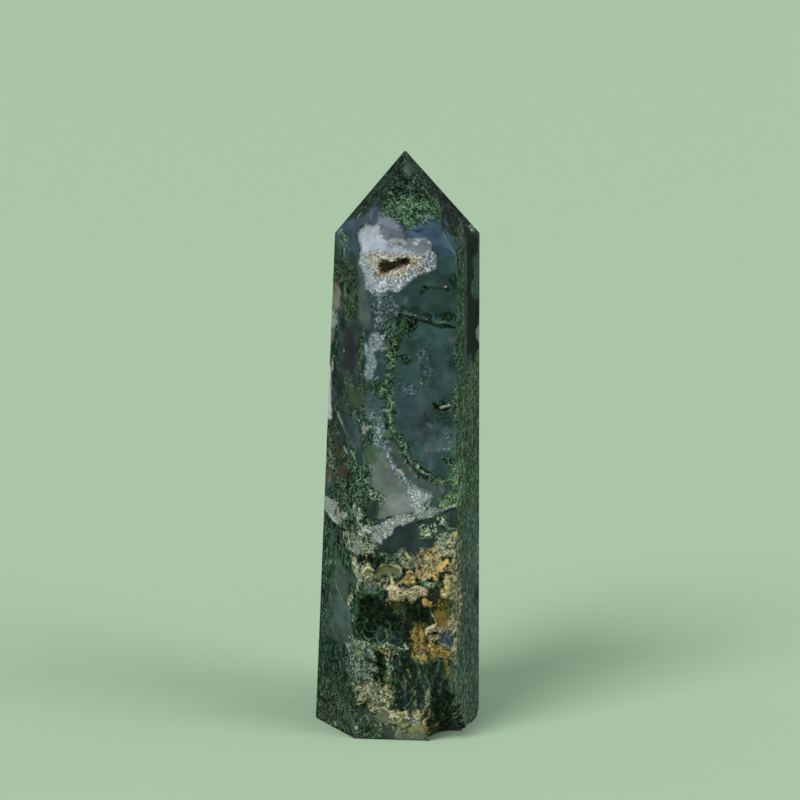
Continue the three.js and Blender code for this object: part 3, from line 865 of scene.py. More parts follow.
def paint_upper_right(area, line, spot, hairs):
    """Smooth teal window with a slanting moss vein, the strips of the right facet beside it, a painted sheen
    on that facet and a painted highlight along its front edge.
    """
    area("teal", (1, 73), (9.2, 75), (9, 54), (6, 50), (2, 50), (1.2, 56), (0, 60), (0.2, 68), edge=0.8)
    area("deep teal", (1.6, 72.4), (3, 72.6), (8.6, 73), (8.9, 66.5), (6, 66.9), (2.4, 67.6), (0.4, 68.6),
         (0.6, 70.2), edge=0.8)
    line("dark vein", 0.3, (3.8, 70.2), (4.6, 70.7), (5.2, 71), (6, 70.8), (7, 70.7), (8, 70.5), share=0.8)
    spot("green clump", 4.1, 70.9, 0.45, 0.35)
    spot("cream thread", 7.1, 71, 0.2, 0.18, share=0.8)
    area("green clump", (8, 71), (8.3, 73), (9, 73.2), (9, 70.8), share=0.7)
    spot("brown grey", 1.2, 69, 0.45, 0.7, edge=0.5)
    area("green band", (0, 67.4), (1.6, 66.9), (2.8, 66.7), (3.2, 65.8), (2.4, 64.9), (1.6, 63.9),
         (0.8, 62.9), (0.6, 61.8), (-0.7, 61.6), (-0.6, 63.2), (0.1, 64.3), (-0.3, 65.8))
    line("dark vein", 0.5, (0.1, 67), (1.6, 66.5), (2.8, 66.2), (4, 65.9), (5.2, 65.6), (6.1, 65.4),
         (7.5, 65.2), (8.8, 65))
    line("left green", 0.4, (0.2, 67.6), (1.6, 67.2), (2.9, 66.9), (4, 66.6), (5.4, 66.2), (7, 65.9),
         (8.8, 65.7), ragged=0.4)
    line("bead", 0.14, (0.2, 67.4), (1.6, 67), (2.9, 66.7), (4, 66.4), (5.4, 66), (7, 65.8), (8.8, 65.6),
         beads=1.2, share=0.7)
    area("deep green", (3.4, 66.9), (4.4, 67.5), (5.6, 67.3), (6.8, 66.9), (6.3, 66.3), (5, 66.3), edge=0.6,
         share=0.8)
    area("deep green", (0.2, 67.6), (1.6, 68.2), (3.4, 67.6), (3, 66.9), edge=0.6, share=0.6)
    area("green band", (6.6, 65.9), (6.7, 66.9), (8, 67.2), (8.9, 67), (8.9, 65.6), share=0.8)
    area("green band", (0.5, 60.3), (1.7, 60.4), (1.6, 58.8), (1, 57.4), (0.6, 58.6))
    area("streaky teal", (3, 61.6), (4.8, 61.5), (5.1, 59.4), (4.6, 57.2), (3.1, 57.6), (2.8, 59.5),
         edge=0.7)
    spot("brown grey", 8.2, 63.2, 0.55, 0.45, edge=0.4)
    area("green clump", (8.2, 58.9), (8.3, 61), (9, 61.1), (9, 58.9), share=0.6)
    area("lilac slate", (8, 56.9), (8.1, 58.6), (9.6, 58.8), (9.6, 57.2), edge=0.4)
    area("right slate", (9.2, 77), (13, 77), (16, 70), (16, 56), (9.2, 57), share=0.6)
    area("right strip", (9, 76), (9.8, 76.4), (10.1, 70), (10.1, 58), (9, 57.6), (8.9, 66), ragged=0.3)
    line("blue wedge", 0.55, (10.3, 75), (10.3, 66), (10.2, 58.5), ragged=0.25, share=0.8)
    area("right brown", (10.6, 76), (12, 76.5), (12.3, 70), (12.2, 58.4), (10.7, 57.6), (10.5, 66), edge=0.4,
         ragged=0.3)
    # Painted sheen: a whitish reflection streak on the right facet, laid as colour
    area("right white", (12, 65.4), (13, 65.6), (13.2, 62), (13, 57.8), (12.2, 57.4), (11.95, 60), edge=0.4)
    # Painted highlight: a thin light line along the rounded edge between the front and right facets
    line("green thread", 0.14, (8.9, 76), (8.95, 71), (8.9, 65), share=0.6)


def paint_middle_left(area, line, spot, hairs):
    """Slate cells in a net of pale lines, a granular blue column and a white skin on the outline."""
    area("left net", (-9.6, 55), (-5, 55), (-1, 56), (0.2, 53), (-0.4, 49), (-2, 44), (-4, 42.6), (-8, 42.6),
         (-10.2, 44), (-10, 50), edge=0.8)
    hairs(("green thread", "black spot"), (-9.5, 56), (-1, 56), (-0.9, 49), (-3.4, 43), (-9, 36), (-9.8, 44),
          density=2.2, length=1.3, turn=70, share=0.7)
    area("white skin", (-15, 56.8), (-10.25, 56.6), (-10.15, 53), (-10.2, 50), (-10.4, 48.2), (-15, 47.6),
         edge=0.3, ragged=0.15)
    line("red brown", 0.25, (-10.05, 56), (-10, 53), (-10.05, 49))
    line("deep green", 0.35, (-9.75, 56), (-9.7, 52), (-9.8, 47))
    line("green thread", 0.18, (-9.45, 55), (-9.4, 52.4), (-9.6, 49.6), beads=0.6)
    area("mid slate", (-9.3, 56), (-8.3, 55.6), (-8.4, 53), (-9.2, 52.4), edge=0.4)
    area("slate blue", (-9, 52.4), (-8.2, 52), (-7.2, 50.6), (-7.6, 50), (-9, 50.8), edge=0.4, share=0.6)
    area("olive slate", (-8, 54), (-7, 54.3), (-4.8, 54.2), (-5, 52.6), (-6.2, 51.6), (-7.2, 51.8),
         (-8, 52.8), edge=0.5, share=0.75)
    line("green thread", 0.18, (-8.2, 52.9), (-8.1, 54.1), (-7.2, 54.6), (-5.5, 54.8), (-3.6, 54.7),
         ragged=0.3, beads=0.5)
    line("green thread", 0.24, (-8.2, 52.6), (-7.6, 51.8), (-6.8, 50.8), (-6, 49.9), (-5.6, 49.2), beads=0.6)
    area("grey slate", (-8.6, 49.4), (-7.4, 50.2), (-6.4, 49.6), (-5.7, 48.4), (-5.5, 45.4), (-6, 44.6),
         (-7.2, 45.6), (-7.8, 46.8), edge=0.4)
    area("mid slate", (-8.9, 48.8), (-8.3, 48), (-7.7, 46), (-7.8, 44.8), (-8.8, 46), edge=0.3)
    line("thread", 0.36, (-9.1, 49.7), (-8.8, 49.1), (-8.5, 48.5), ragged=0.1)
    line("thread", 0.26, (-8.6, 48.6), (-8.2, 47.8), (-7.6, 46.7), ragged=0.1, share=0.6)
    line("thread", 0.3, (-8.1, 45), (-7.9, 44.7), (-7.6, 44.2), ragged=0.1)
    line("thread", 0.28, (-7.1, 44.8), (-6.7, 44.2), (-6.3, 43.3), ragged=0.1, share=0.9)
    area("slate lilac", (-7.5, 44.2), (-6.7, 43.8), (-6.6, 41.6), (-7.4, 41.4), share=0.6)
    area("deep teal", (-6.1, 45.6), (-5.3, 45.4), (-5.3, 42.6), (-6.2, 42.4), edge=0.4)
    area("red brown", (-9.85, 46), (-9.1, 45.6), (-8.6, 43.6), (-8.8, 41.4), (-9.8, 41.2))
    area("left green", (-15, 47.4), (-10.1, 47.2), (-9.9, 41), (-15, 40.8), share=0.9)
    area("lace green", (-15, 43), (-9.8, 43), (-9.3, 40), (-10.2, 39.2), (-15, 39.4), share=0.8)
    for z in (55.9, 55.1, 54.3, 53.2):
        line("left green", 0.35, (-5, z), (-3.4, z + 0.3), (-1.2, z), edge=0.3, ragged=0.5, share=0.8)
    area("grey slate", (-4.8, 54.3), (-3, 54.3), (-2, 53.2), (-2.2, 51.4), (-4.8, 51.2), edge=0.5)
    for z in (53.6, 53, 52):
        line("blue grain", 0.4, (-4.8, z), (-3.2, z + 0.1), (-2, z - 0.1), share=0.7)
    area("net green", (-2.2, 53.6), (-1.1, 53.8), (-0.9, 52), (-2.1, 52.2), edge=0.5, share=0.8)
    area("bluish column", (-5, 51.6), (-3, 51.7), (-2.2, 50.6), (-1.9, 48.6), (-1.8, 46.6), (-3.2, 46.2),
         (-3.6, 48), (-4.2, 49.6), edge=0.6)
    area("milky column", (-3.5, 49.2), (-2.2, 49.2), (-2, 46.6), (-3, 46.2), edge=0.4)
    area("leaf slate", (-1.9, 51), (-1, 50.6), (-0.7, 48.6), (-1.7, 47.4), edge=0.4)
    area("pink white", (-5.4, 49), (-4.6, 49.1), (-4.5, 48.2), (-5.2, 47.9), edge=0.3, share=0.9)
    spot("thread", -5.75, 49.6, 0.22, 0.2)
    area("leaf slate", (-4.5, 46.4), (-2.7, 46.2), (-2.5, 44), (-3, 42.4), (-4.4, 42.6), edge=0.7)
    line("green thread", 0.4, (-5.1, 47.4), (-5.05, 45), (-5, 42), (-5.1, 40), ragged=0.4, share=0.7)
    area("black green", (-9.8, 54), (-8, 54), (-6.6, 50), (-6, 46.6), (-7.4, 46.2), (-9.2, 49), edge=1,
         share=0.35)
    line("thread", 0.18, (-4.35, 43.5), (-4.25, 42.8), (-4.55, 42.3), share=0.8)


def paint_middle_right(area, line, spot, hairs):
    """Foot of the teal window: a moss clump, fracture veins, a beaded curve of moss and a painted highlight
    along the front's right edge.
    """
    area("teal", (-0.5, 59), (9, 57), (9, 44), (7.4, 41.2), (5, 41.9), (3.5, 43), (1.9, 45.2), (0.6, 47.4),
         (-0.4, 49.3), (-0.7, 52.4), (-0.7, 55), edge=0.4)
    area("lilac slate", (-0.3, 53), (1.2, 54), (3.4, 53), (6, 52.4), (8, 50), (6.4, 47.6), (4, 46.4),
         (2.6, 46), (1, 48), (-0.1, 50), edge=0.8)
    area("slate blue", (-0.5, 55), (0.6, 57), (2, 56.5), (4, 54), (3.6, 51), (1.4, 51.6), (-0.4, 52.6),
         edge=1.2, share=0.35)
    area("streaky teal", (0.6, 56.6), (2.6, 56.6), (3, 55.2), (2.4, 53.6), (1.4, 53.8), (0.7, 55.2),
         edge=0.5)
    area("streaky teal", (3.2, 62.2), (4.9, 62), (5, 59), (4.8, 56), (4, 54), (3.3, 56), (3.4, 59), edge=0.5,
         share=0.8)
    spot("ochre thread", 3.6, 56.4, 0.2, 0.16, share=0.7)
    area("green clump", (5.2, 52.7), (5.6, 53.7), (6.4, 53.6), (7.6, 53.9), (8.7, 53.6), (8.7, 52.3),
         (7.6, 51.8), (6, 52), edge=0.3, ragged=0.5)
    line("black spot", 0.25, (5.5, 53.1), (6.2, 52.8), (6.8, 52.3), (7.5, 52.6), ragged=0.4)
    line("thread", 0.16, (6.5, 52.9), (7.2, 53.1), (8, 53.25), share=0.8)
    area("net green", (5.6, 52), (8.6, 52), (8.4, 50.6), (6.6, 50.6), edge=0.6, share=0.6)
    line("dark vein", 0.2, (3.8, 51.9), (4.4, 51.2), (5.3, 50.1), share=0.6)
    line("brown skin", 0.2, (4.2, 50.4), (5.2, 49.6), share=0.4)
    area("brown grey", (5, 48.2), (6.6, 48), (6.8, 46.8), (5.5, 45.6), (4.2, 46.6), edge=0.6)
    line("pale slate", 0.45, (2.9, 46.7), (4.2, 46.2), (5.2, 44.9), (5.9, 45.8), (7.2, 46.3), (8.5, 46.5),
         edge=0.4, ragged=0.2, share=0.7)
    line("lilac", 0.3, (5.2, 45.2), (5.3, 43.8), (5.2, 42.8), edge=0.5, share=0.35)
    area("blue grain", (6.4, 49), (8.2, 49.1), (8.7, 48), (8.7, 46.6), (7.4, 46.4), (6.5, 47.2), share=0.7)
    area("dull brown", (-0.9, 47.3), (0.6, 46.4), (2, 44.4), (3.6, 42.5), (5.2, 41.5), (7.2, 41.1),
         (7.4, 39.6), (6.2, 38), (5.4, 36.6), (4.7, 36.4), (5, 38.2), (4.9, 39.3), (3.4, 39.9), (1.8, 41.4),
         (0.4, 43.4), (-0.6, 45.2), edge=0.5)
    line("left green", 1.2, (-1.1, 66), (-1.05, 62), (-1, 58), (-1.15, 54.6), (-1.1, 52.5), (-1.1, 50.8),
         (-0.4, 48.8), (0.7, 46.9), (1.9, 44.8), (3.5, 42.6), (5, 41.6), (6.5, 41.2), (7.6, 40.9), edge=0.4,
         ragged=0.5)
    hairs(("green thread", "black spot", "bead"), (-1.9, 62), (-0.4, 62), (-0.6, 51), (0.6, 48.4),
          (2.4, 44.8), (4.6, 42.4), (7.6, 41.4), (7.4, 40.4), (4, 41.2), (1.6, 43.6), (0, 46.4), (-1.7, 50),
          density=5, length=0.9, turn=120, share=0.75)
    line("black spot", 0.28, (-0.6, 51.6), (-0.25, 49.6), (0.5, 48.6), (1.2, 47.2), (1.8, 45.8), (2.8, 44.1),
         (3.9, 42.9), (5.4, 42), ragged=0.3, share=0.75)
    line("deep green", 0.25, (-1.8, 51.6), (-1.6, 49.8), (-0.7, 48.2), (0.4, 46.4), (1.5, 44.6), (3.1, 42.6),
         (4.6, 41.2), ragged=0.3, share=0.7)
    line("bead", 0.2, (-0.85, 53.4), (-0.95, 52.4), (-1.35, 52.05), (-2, 52.15), ragged=0.15, share=0.8)
    line("bead", 0.28, (-1.25, 51.6), (-1.15, 50.8), (-1.05, 50.3), ragged=0.15, share=0.9)
    line("bead", 0.2, (-0.6, 49.4), (-0.2, 49), share=0.8)
    line("bead", 0.18, (-0.4, 49.8), (0, 49.2), (0.1, 48.9), share=0.7)
    line("bead", 0.18, (0.4, 46.8), (0.75, 46.7), share=0.7)
    line("bead", 0.14, (1.2, 47), (1.4, 46), (2, 45.2), (2.6, 44.5), (3.3, 43.4), (4.2, 42.3), (5.2, 41.8),
         (6.5, 41.4), (7.4, 41.1), ragged=0.2, beads=1, share=0.8)
    spot("bead", 3.25, 43.4, 0.16, 0.24)
    line("green thread", 0.16, (8.3, 45.6), (8.9, 45.5), (8.9, 44.9), (8.4, 44.9), (8.2, 45.3))
    spot("thread", 8.35, 43.1, 0.3, 0.24)
    spot("bead", 8.2, 42.6, 0.2, 0.2)
    line("black spot", 0.18, (8.1, 43.2), (8.1, 42.7))
    area("left green", (7.2, 44.6), (8.3, 44.6), (8.3, 43.5), (7.3, 43.4))
    area("right moss", (8.1, 56.2), (9, 56.7), (10, 57), (11.2, 57.5), (15, 57.6), (16, 45), (15, 31),
         (11, 31), (9.1, 32), (8.9, 44), (8.6, 52))
    line("right slate", 0.9, (9.4, 54), (9.5, 48), (9.5, 42), edge=0.5, ragged=0.4, share=0.6)
    # Painted highlight: a thin light line along the rounded edge between the front and right facets
    line("green thread", 0.14, (8.75, 50), (8.8, 47.5), (8.75, 45), share=0.6)
    line("slate blue", 0.4, (8.5, 52), (8.6, 49), (8.6, 47), edge=0.4, share=0.6)
    for x, low, high in ((10.2, 36, 52), (11.0, 33, 47), (11.7, 40, 56)):
        line("side green", 0.5, (x, high), (x + 0.2, (low + high) / 2), (x - 0.1, low), edge=0.4, ragged=0.5,
             share=0.7)
    line("green thread", 0.2, (10.3, 34.4), (10.9, 35), (11.5, 34.5), share=0.6)


def paint_triangle(area, line, spot, hairs):
    """Warm grey wedge with an icy corner, its veins and the moss round it."""
    area("left green", (-8.2, 42.8), (-4, 42.8), (-3, 40), (-2.6, 37), (-4.6, 34), (-8, 35), (-9, 38))
    area("left green", (-9, 43), (-6.5, 43), (-5, 38), (-5.2, 33), (-9, 32), (-10.4, 36), (-10, 40),
         share=0.8)
    area("brown skin", (-15, 40.4), (-10.3, 40.2), (-10.3, 38.1), (-15, 38), share=0.6)
    area("red brown", (-9.1, 41.6), (-8, 41.4), (-7.9, 40), (-9, 40))
    for x in (-7.6, -7.05):
        line("deep green", 0.3, (x, 42), (x + 0.1, 39), (x - 0.1, 36), ragged=0.25)
    area("warm grey", (-2.6, 46), (-3.3, 44.4), (-3.9, 42.5), (-3.6, 39.7), (-2.6, 37.9), (-3, 35.4),
         (-0.6, 35.4), (1, 35.8), (3.5, 36.6), (4.7, 38.2), (4.9, 39.5), (2.8, 39.9), (1.4, 41.4), (0, 43.4),
         (-1.2, 45.4), edge=0.5)
    area("warm beige", (-2.2, 42.6), (-0.6, 43.2), (0.4, 42.2), (0.3, 41), (-0.6, 40), (-2, 40.4), edge=0.6)
    area("warm light", (-1.4, 39), (0.4, 39.2), (2.7, 38.6), (3, 37), (1.4, 36.3), (-0.8, 36.2),
         (-1.8, 37.4), edge=0.8)
    area("brown skin", (6.2, 40.2), (7.1, 40.2), (7.2, 39.4), (6.6, 39.2), edge=0.4, share=0.5)
    area("lace green", (-4.2, 39.3), (-3, 39), (-2.2, 38.2), (-2.6, 37.4), (-4, 37.8), (-4.8, 38.6),
         edge=0.4)
    line("blue grain", 1.5, (-3.9, 51.4), (-3.3, 49.6), (-2.6, 47.8), (-1.4, 45.3), (-0.2, 42.9), (1, 41.1),
         (2.4, 39.8), edge=0.4, ragged=0.6)
    line("white grain", 0.9, (-2.9, 49), (-2.6, 47.6), (-1.9, 46.2), (-1.2, 44.9), (-0.1, 43), (0.7, 41.9),
         (1.6, 40.6), (2.6, 39.6), (4.1, 38.6), edge=0.4, ragged=0.6, beads=0.4, share=0.8)
    line("cream thread", 0.3, (-0.2, 43.4), (0.4, 42.7), (0.9, 41.8), ragged=0.3, share=0.7)
    area("white grain", (1.6, 40.1), (3.4, 39.8), (4.9, 39.4), (4.7, 38.5), (4.05, 37.8), (3.95, 37.1),
         (2.9, 36.4), (2.2, 36.8), (1.9, 38), ragged=0.4)
    area("ice white", (2.6, 39.2), (4.6, 39.1), (4.2, 38.2), (3.6, 37.4), (2.7, 37.4), share=0.7)
    area("mid slate", (-4.8, 37.4), (-3.6, 37.6), (-2.9, 37), (-3, 35.6), (-4, 35.2), (-4.9, 36))
    spot("deep green", -1.15, 35.4, 0.45, 0.3)
    area("navy", (-2.6, 34.8), (0, 34.9), (2, 34.7), (5, 35.6), (8.9, 37.1), (8.9, 34.4), (6, 33.6),
         (5, 30.6), (-2.4, 30.8), (-3.4, 32.2))
    area("leaf green", (6.6, 39.2), (7.5, 39.5), (8.7, 39.4), (9.6, 39), (9.6, 37.6), (8.1, 37.3),
         (6.6, 36.9), (5.85, 37.1), (6.15, 38.1))
    area("leaf green", (8.6, 43.4), (10.2, 43), (10.6, 40), (9.8, 37.4), (8.7, 38.2), share=0.6)
    line("green thread", 0.2, (7.1, 41.3), (7.8, 41.7), (8.5, 41.5))
    line("green thread", 0.16, (7.4, 40.6), (8, 40.9), (8.6, 40.7), share=0.8)
    line("black spot", 0.22, (0.8, 35.3), (2, 35.7), (3.4, 36.1), (4.4, 37.2), share=0.7)
    line("vein white", 0.42, (3.5, 35.4), (4.8, 35.9), (5.9, 36.3), (7.2, 36.9), (8.7, 37.5), (9.3, 38.6),
         (9.9, 40), ragged=0.3)
    line("deep green", 0.28, (3.4, 34.7), (4.6, 35.4), (5.8, 35.8), (7.2, 36.4), (8.8, 37))
    line("vein white", 0.6, (-4.4, 33), (-3, 33.9), (-1.6, 34.6), (1, 35.6), (2.4, 36), (3.5, 36.5),
         (4.3, 37.3), (4.7, 38.2), ragged=0.4)
    area("vein white", (-3.3, 31.4), (-4, 32.8), (-2.8, 34), (-1.1, 34.8), (1, 35.5), (3, 35.6), (1.4, 34.4),
         (-0.2, 33.4), (-1.3, 32.4), (-2.4, 31.6), edge=0.3, ragged=0.4)
    area("vein white", (3.2, 35.5), (4, 36.8), (5.2, 37.4), (6.4, 37), (5.6, 35.9), (4.4, 35.4), edge=0.3,
         ragged=0.3, share=0.8)
    spot("vein white", -1.75, 33.1, 0.55, 0.3)
    area("pink white", (-15, 35.9), (-10.8, 35.7), (-9.95, 35.8), (-9.1, 35.7), (-9, 34.8), (-8.4, 34.6),
         (-7.65, 35), (-7.6, 34.4), (-8.4, 33.5), (-8.85, 32.3), (-9.6, 32.5), (-10.3, 32.8), (-10.9, 33.2),
         (-15, 33.6))
    line("thread", 0.25, (-10.6, 33.2), (-9.7, 32.7), (-8.9, 32.5), (-8.5, 33.4), (-7.7, 34.5))
    line("black spot", 0.22, (-13, 33.6), (-11.1, 33.3), (-10.2, 32.4), (-9, 31.9), (-8.1, 31.7))
    spot("left green", -9.5, 34, 0.4, 0.5)
    line("thread", 0.22, (-6.4, 36.9), (-6.8, 35.6), (-6.3, 34.8))
    area("lacy column", (-6.1, 35.7), (-5.2, 35.6), (-4.9, 34), (-5, 32.4), (-6, 32.3), (-6.2, 34))
    spot("thread", -5.2, 32.7, 0.25, 0.25)
    area("green lace", (5.4, 36), (7.2, 36.1), (7.5, 35), (6.6, 34.2), (5.4, 34.4))
    line("green thread", 0.2, (7.2, 34.8), (7.6, 34.2), (8, 34), (8.8, 34.1))
    area("green lace", (3.6, 34), (5.6, 34.2), (5.7, 32.6), (4.4, 32.2), (3.6, 32.6))
    area("mid slate", (8, 36.3), (8.9, 36.4), (9, 34.9), (8.1, 34.8))


def paint_seam(area, line, spot, hairs):
    """Broken cream seam where the chalcedony meets the dark jasper."""
    area("low green", (-15, 31.6), (-9, 31.4), (-7, 31), (-5.5, 33), (-2.6, 31.4), (1, 30.6), (5, 31),
         (9, 33), (9.2, 16), (0, 15), (-15, 16), edge=0.8)
    area("black green", (-6, 29.4), (-4, 29.8), (-2.4, 30.4), (0.8, 30.2), (3.6, 29), (3, 28), (0.6, 28),
         (-1, 27.9), (-3, 27.6), (-5.8, 28))
    area("lace green", (-5.1, 31.9), (-3.8, 31.7), (-3.2, 30.4), (-3.6, 29.6), (-5, 29.8))
    area("cream lace", (-8.7, 31.2), (-7.6, 32.4), (-6.5, 32.5), (-5.2, 31), (-5.4, 29.4), (-6.6, 29.3),
         (-7.6, 29.8))
    area("navy", (-2.4, 31), (-0.4, 31.2), (0.2, 30), (-1, 29.4), (-2.2, 29.8), share=0.8)
    area("lace green", (-2.4, 29.6), (0.8, 29.4), (0.6, 28.3), (-1, 28.2), (-2.6, 28.6), share=0.8)
    area("navy", (0.8, 31.4), (3.6, 31.4), (3.7, 29.2), (2, 28.8), (0.9, 29.2))
    for shift in (0.0, 0.5, 1.1):
        line("cream thread", 0.22, (0.5 + shift, 31 - shift), (0.9 + shift, 29.9 - shift),
             (1.9 + shift, 29 - shift / 2), (2.6 + shift, 28.6), ragged=0.4, share=0.8)
    area("ochre lace", (3, 29), (3.8, 30.6), (5.2, 31.2), (6.7, 30.8), (6.8, 28.4), (6.4, 26.6), (4.6, 26),
         (3.2, 26.6))
    area("cream lace", (6, 33), (7.6, 32.8), (9, 33.3), (9.1, 31), (8, 29.3), (6.4, 29.4), (5.8, 31))
    area("cream", (6.4, 31), (7.8, 31.2), (9.1, 30.9), (8.8, 29.3), (6.8, 29.1))
    hairs(("cream thread", "black spot", "ochre thread", "cream thread"), (2.6, 28.8), (3.8, 31),
          (5.6, 31.8), (7, 30.6), (6.9, 26.6), (4.4, 25.6), (3, 26.6), density=10, length=1.1, turn=75,
          curl=45, share=0.95)
    hairs(("thread", "black spot"), (5.8, 31.6), (7.2, 33.2), (9.1, 33.2), (9.1, 29), (7, 29.2), density=4,
          length=1, turn=75, curl=45)
    hairs(("green thread", "black spot"), (-2.8, 30.6), (3.2, 29.6), (2.6, 27.6), (-2.8, 27.8), density=3,
          length=1, turn=60, spread=50, curl=40, share=0.7)
    area("cream slate", (0.3, 31), (0.9, 29.6), (1.9, 29), (2, 30), (2.7, 29), (4, 28.6), (3.6, 27.8),
         (1, 27.6), (0.4, 28.8), edge=0.4, ragged=0.4, share=0.8)
    line("cream thread", 0.18, (3, 30.3), (3.3, 30.7), (3.7, 30.4), (3.3, 30.1), share=0.8)
    area("dark gap", (6.9, 29.3), (8.9, 29.3), (8.9, 28.5), (7.4, 28.4))
    area("fern", (7.1, 28.3), (9, 28.3), (9, 26.8), (7.4, 26.9))
    spot("olive", 8.5, 28.35, 0.45, 0.32)
    line("low cream", 0.25, (7.5, 27.5), (8.3, 27.3), (9, 27.1))
    hairs(("thread", "cream thread", "thread", "black spot", "thread"), (-8.6, 32.6), (-5, 32.6), (-3.2, 31),
          (-4.4, 29.4), (-7.4, 29.2), density=6, length=0.9, turn=30, spread=60, curl=50)
    spot("pink white", -6.1, 29.9, 0.6, 0.5, edge=0.4)
    spot("pink white", -3.6, 31, 0.45, 0.3, edge=0.3, share=0.8)


def paint_cells_below_seam(area, line, spot, hairs):
    """Cream and ochre cells with dark gaps, just below the seam."""
    area("cream arc", (-7.1, 28.3), (-6.5, 28.6), (-6.1, 27.6), (-5.6, 26.2), (-5.3, 25), (-6, 24.4),
         (-6.7, 25.6), (-7, 27), ragged=0.4)
    area("cream lace", (-5.9, 28), (-4.4, 28.1), (-3.4, 27.8), (-2.9, 26.6), (-3.1, 25.1), (-5.4, 25.1),
         (-6, 26.4))
    hairs(("black spot", "cream thread"), (-5.9, 28.2), (-3.2, 28), (-2.9, 25), (-5.6, 25), density=7,
          length=0.9, turn=15, spread=50, curl=50, share=0.85)
    line("cream thread", 0.26, (-5.2, 27), (-4.6, 27.6), (-3.8, 27.5), (-3.3, 27))
    line("cream thread", 0.2, (-5.8, 24.95), (-4.2, 25), (-2.4, 24.9), beads=0.8)
    line("black spot", 0.35, (-3.9, 27.9), (-3.5, 27.5), (-3.1, 27.25))
    area("olive", (-3, 26.1), (-2.9, 27.1), (-2.3, 27.6), (-1.6, 27.8), (-0.8, 27.7), (0, 27.45),
         (0.6, 27.1), (0.75, 26.3), (0.4, 25.8), (-0.2, 26), (-0.7, 26.5), (-1.4, 26.3), (-2.1, 26.2),
         (-2.6, 25.7), edge=0.3, ragged=0.3)
    area("beige", (-2.8, 26.4), (-1.4, 26.9), (0.3, 26.9), (0.5, 26.2), (-0.6, 26.3), (-2.4, 25.9),
         share=0.7)
    line("cream thread", 0.2, (-2.9, 27.4), (-2.2, 27.9), (-1.3, 28), (-0.4, 27.8), (0.6, 27.4),
         (0.85, 26.6), share=0.8)
    line("black spot", 0.3, (0.95, 27.3), (1, 26.4), (0.7, 25.7))
    hairs(("dark gap", "cream thread"), (-3.1, 24), (-2.4, 26), (0.4, 26), (0.2, 24.9), (-1, 24.6),
          density=8, length=1.1, turn=80, spread=30, share=0.85)
    for shift in (0.0, 0.9):
        line("cream thread", 0.24, (-3 + shift, 24.1), (-2.5 + shift, 25.1), (-2 + shift, 25.8),
             (-1.3 + shift, 26.1), ragged=0.35, share=0.55)
        line("dark gap", 0.16, (-2.75 + shift, 24), (-2.3 + shift, 24.9), (-1.8 + shift, 25.5), ragged=0.3)
    line("black spot", 0.25, (-0.95, 26), (-0.9, 25.4))
    line("black spot", 0.22, (-0.35, 25.9), (-0.4, 25.3))
    line("black spot", 0.2, (0.1, 25.7), (0.05, 25.3))
    line("cream thread", 0.22, (-0.7, 26.2), (-0.65, 25.2))
    area("tan cell", (1.15, 26.1), (1.5, 26.5), (2.7, 26.4), (2.95, 25.6), (2.8, 24.9), (1.6, 24.8),
         (1.2, 25.3), edge=0.25, ragged=0.25)
    line("ochre thread", 0.22, (1.2, 26.2), (1.15, 25.6), (1.5, 25))
    line("ochre thread", 0.35, (1.6, 26.7), (2, 26.8), (2.4, 26.6))
    line("black spot", 0.3, (2.95, 25.8), (3.1, 25), (3, 24.3))
    line("black spot", 0.2, (1, 24.7), (2.2, 24.6), (3, 24.5), ragged=0.3)
    line("ochre thread", 0.22, (0.3, 25.1), (0.9, 25.5), (0.6, 25.8))
    area("fern", (-5.5, 25), (-3.2, 25), (-2.6, 23.6), (-3, 22.6), (-5.4, 22.4))
    area("pale lobe", (-4.9, 24.8), (-3.3, 24.8), (-3.2, 24), (-4.8, 24), edge=0.5, share=0.45)
    spot("rust", -3.8, 22.5, 0.45, 0.3)
    spot("black spot", -3.2, 22.7, 0.3, 0.15)


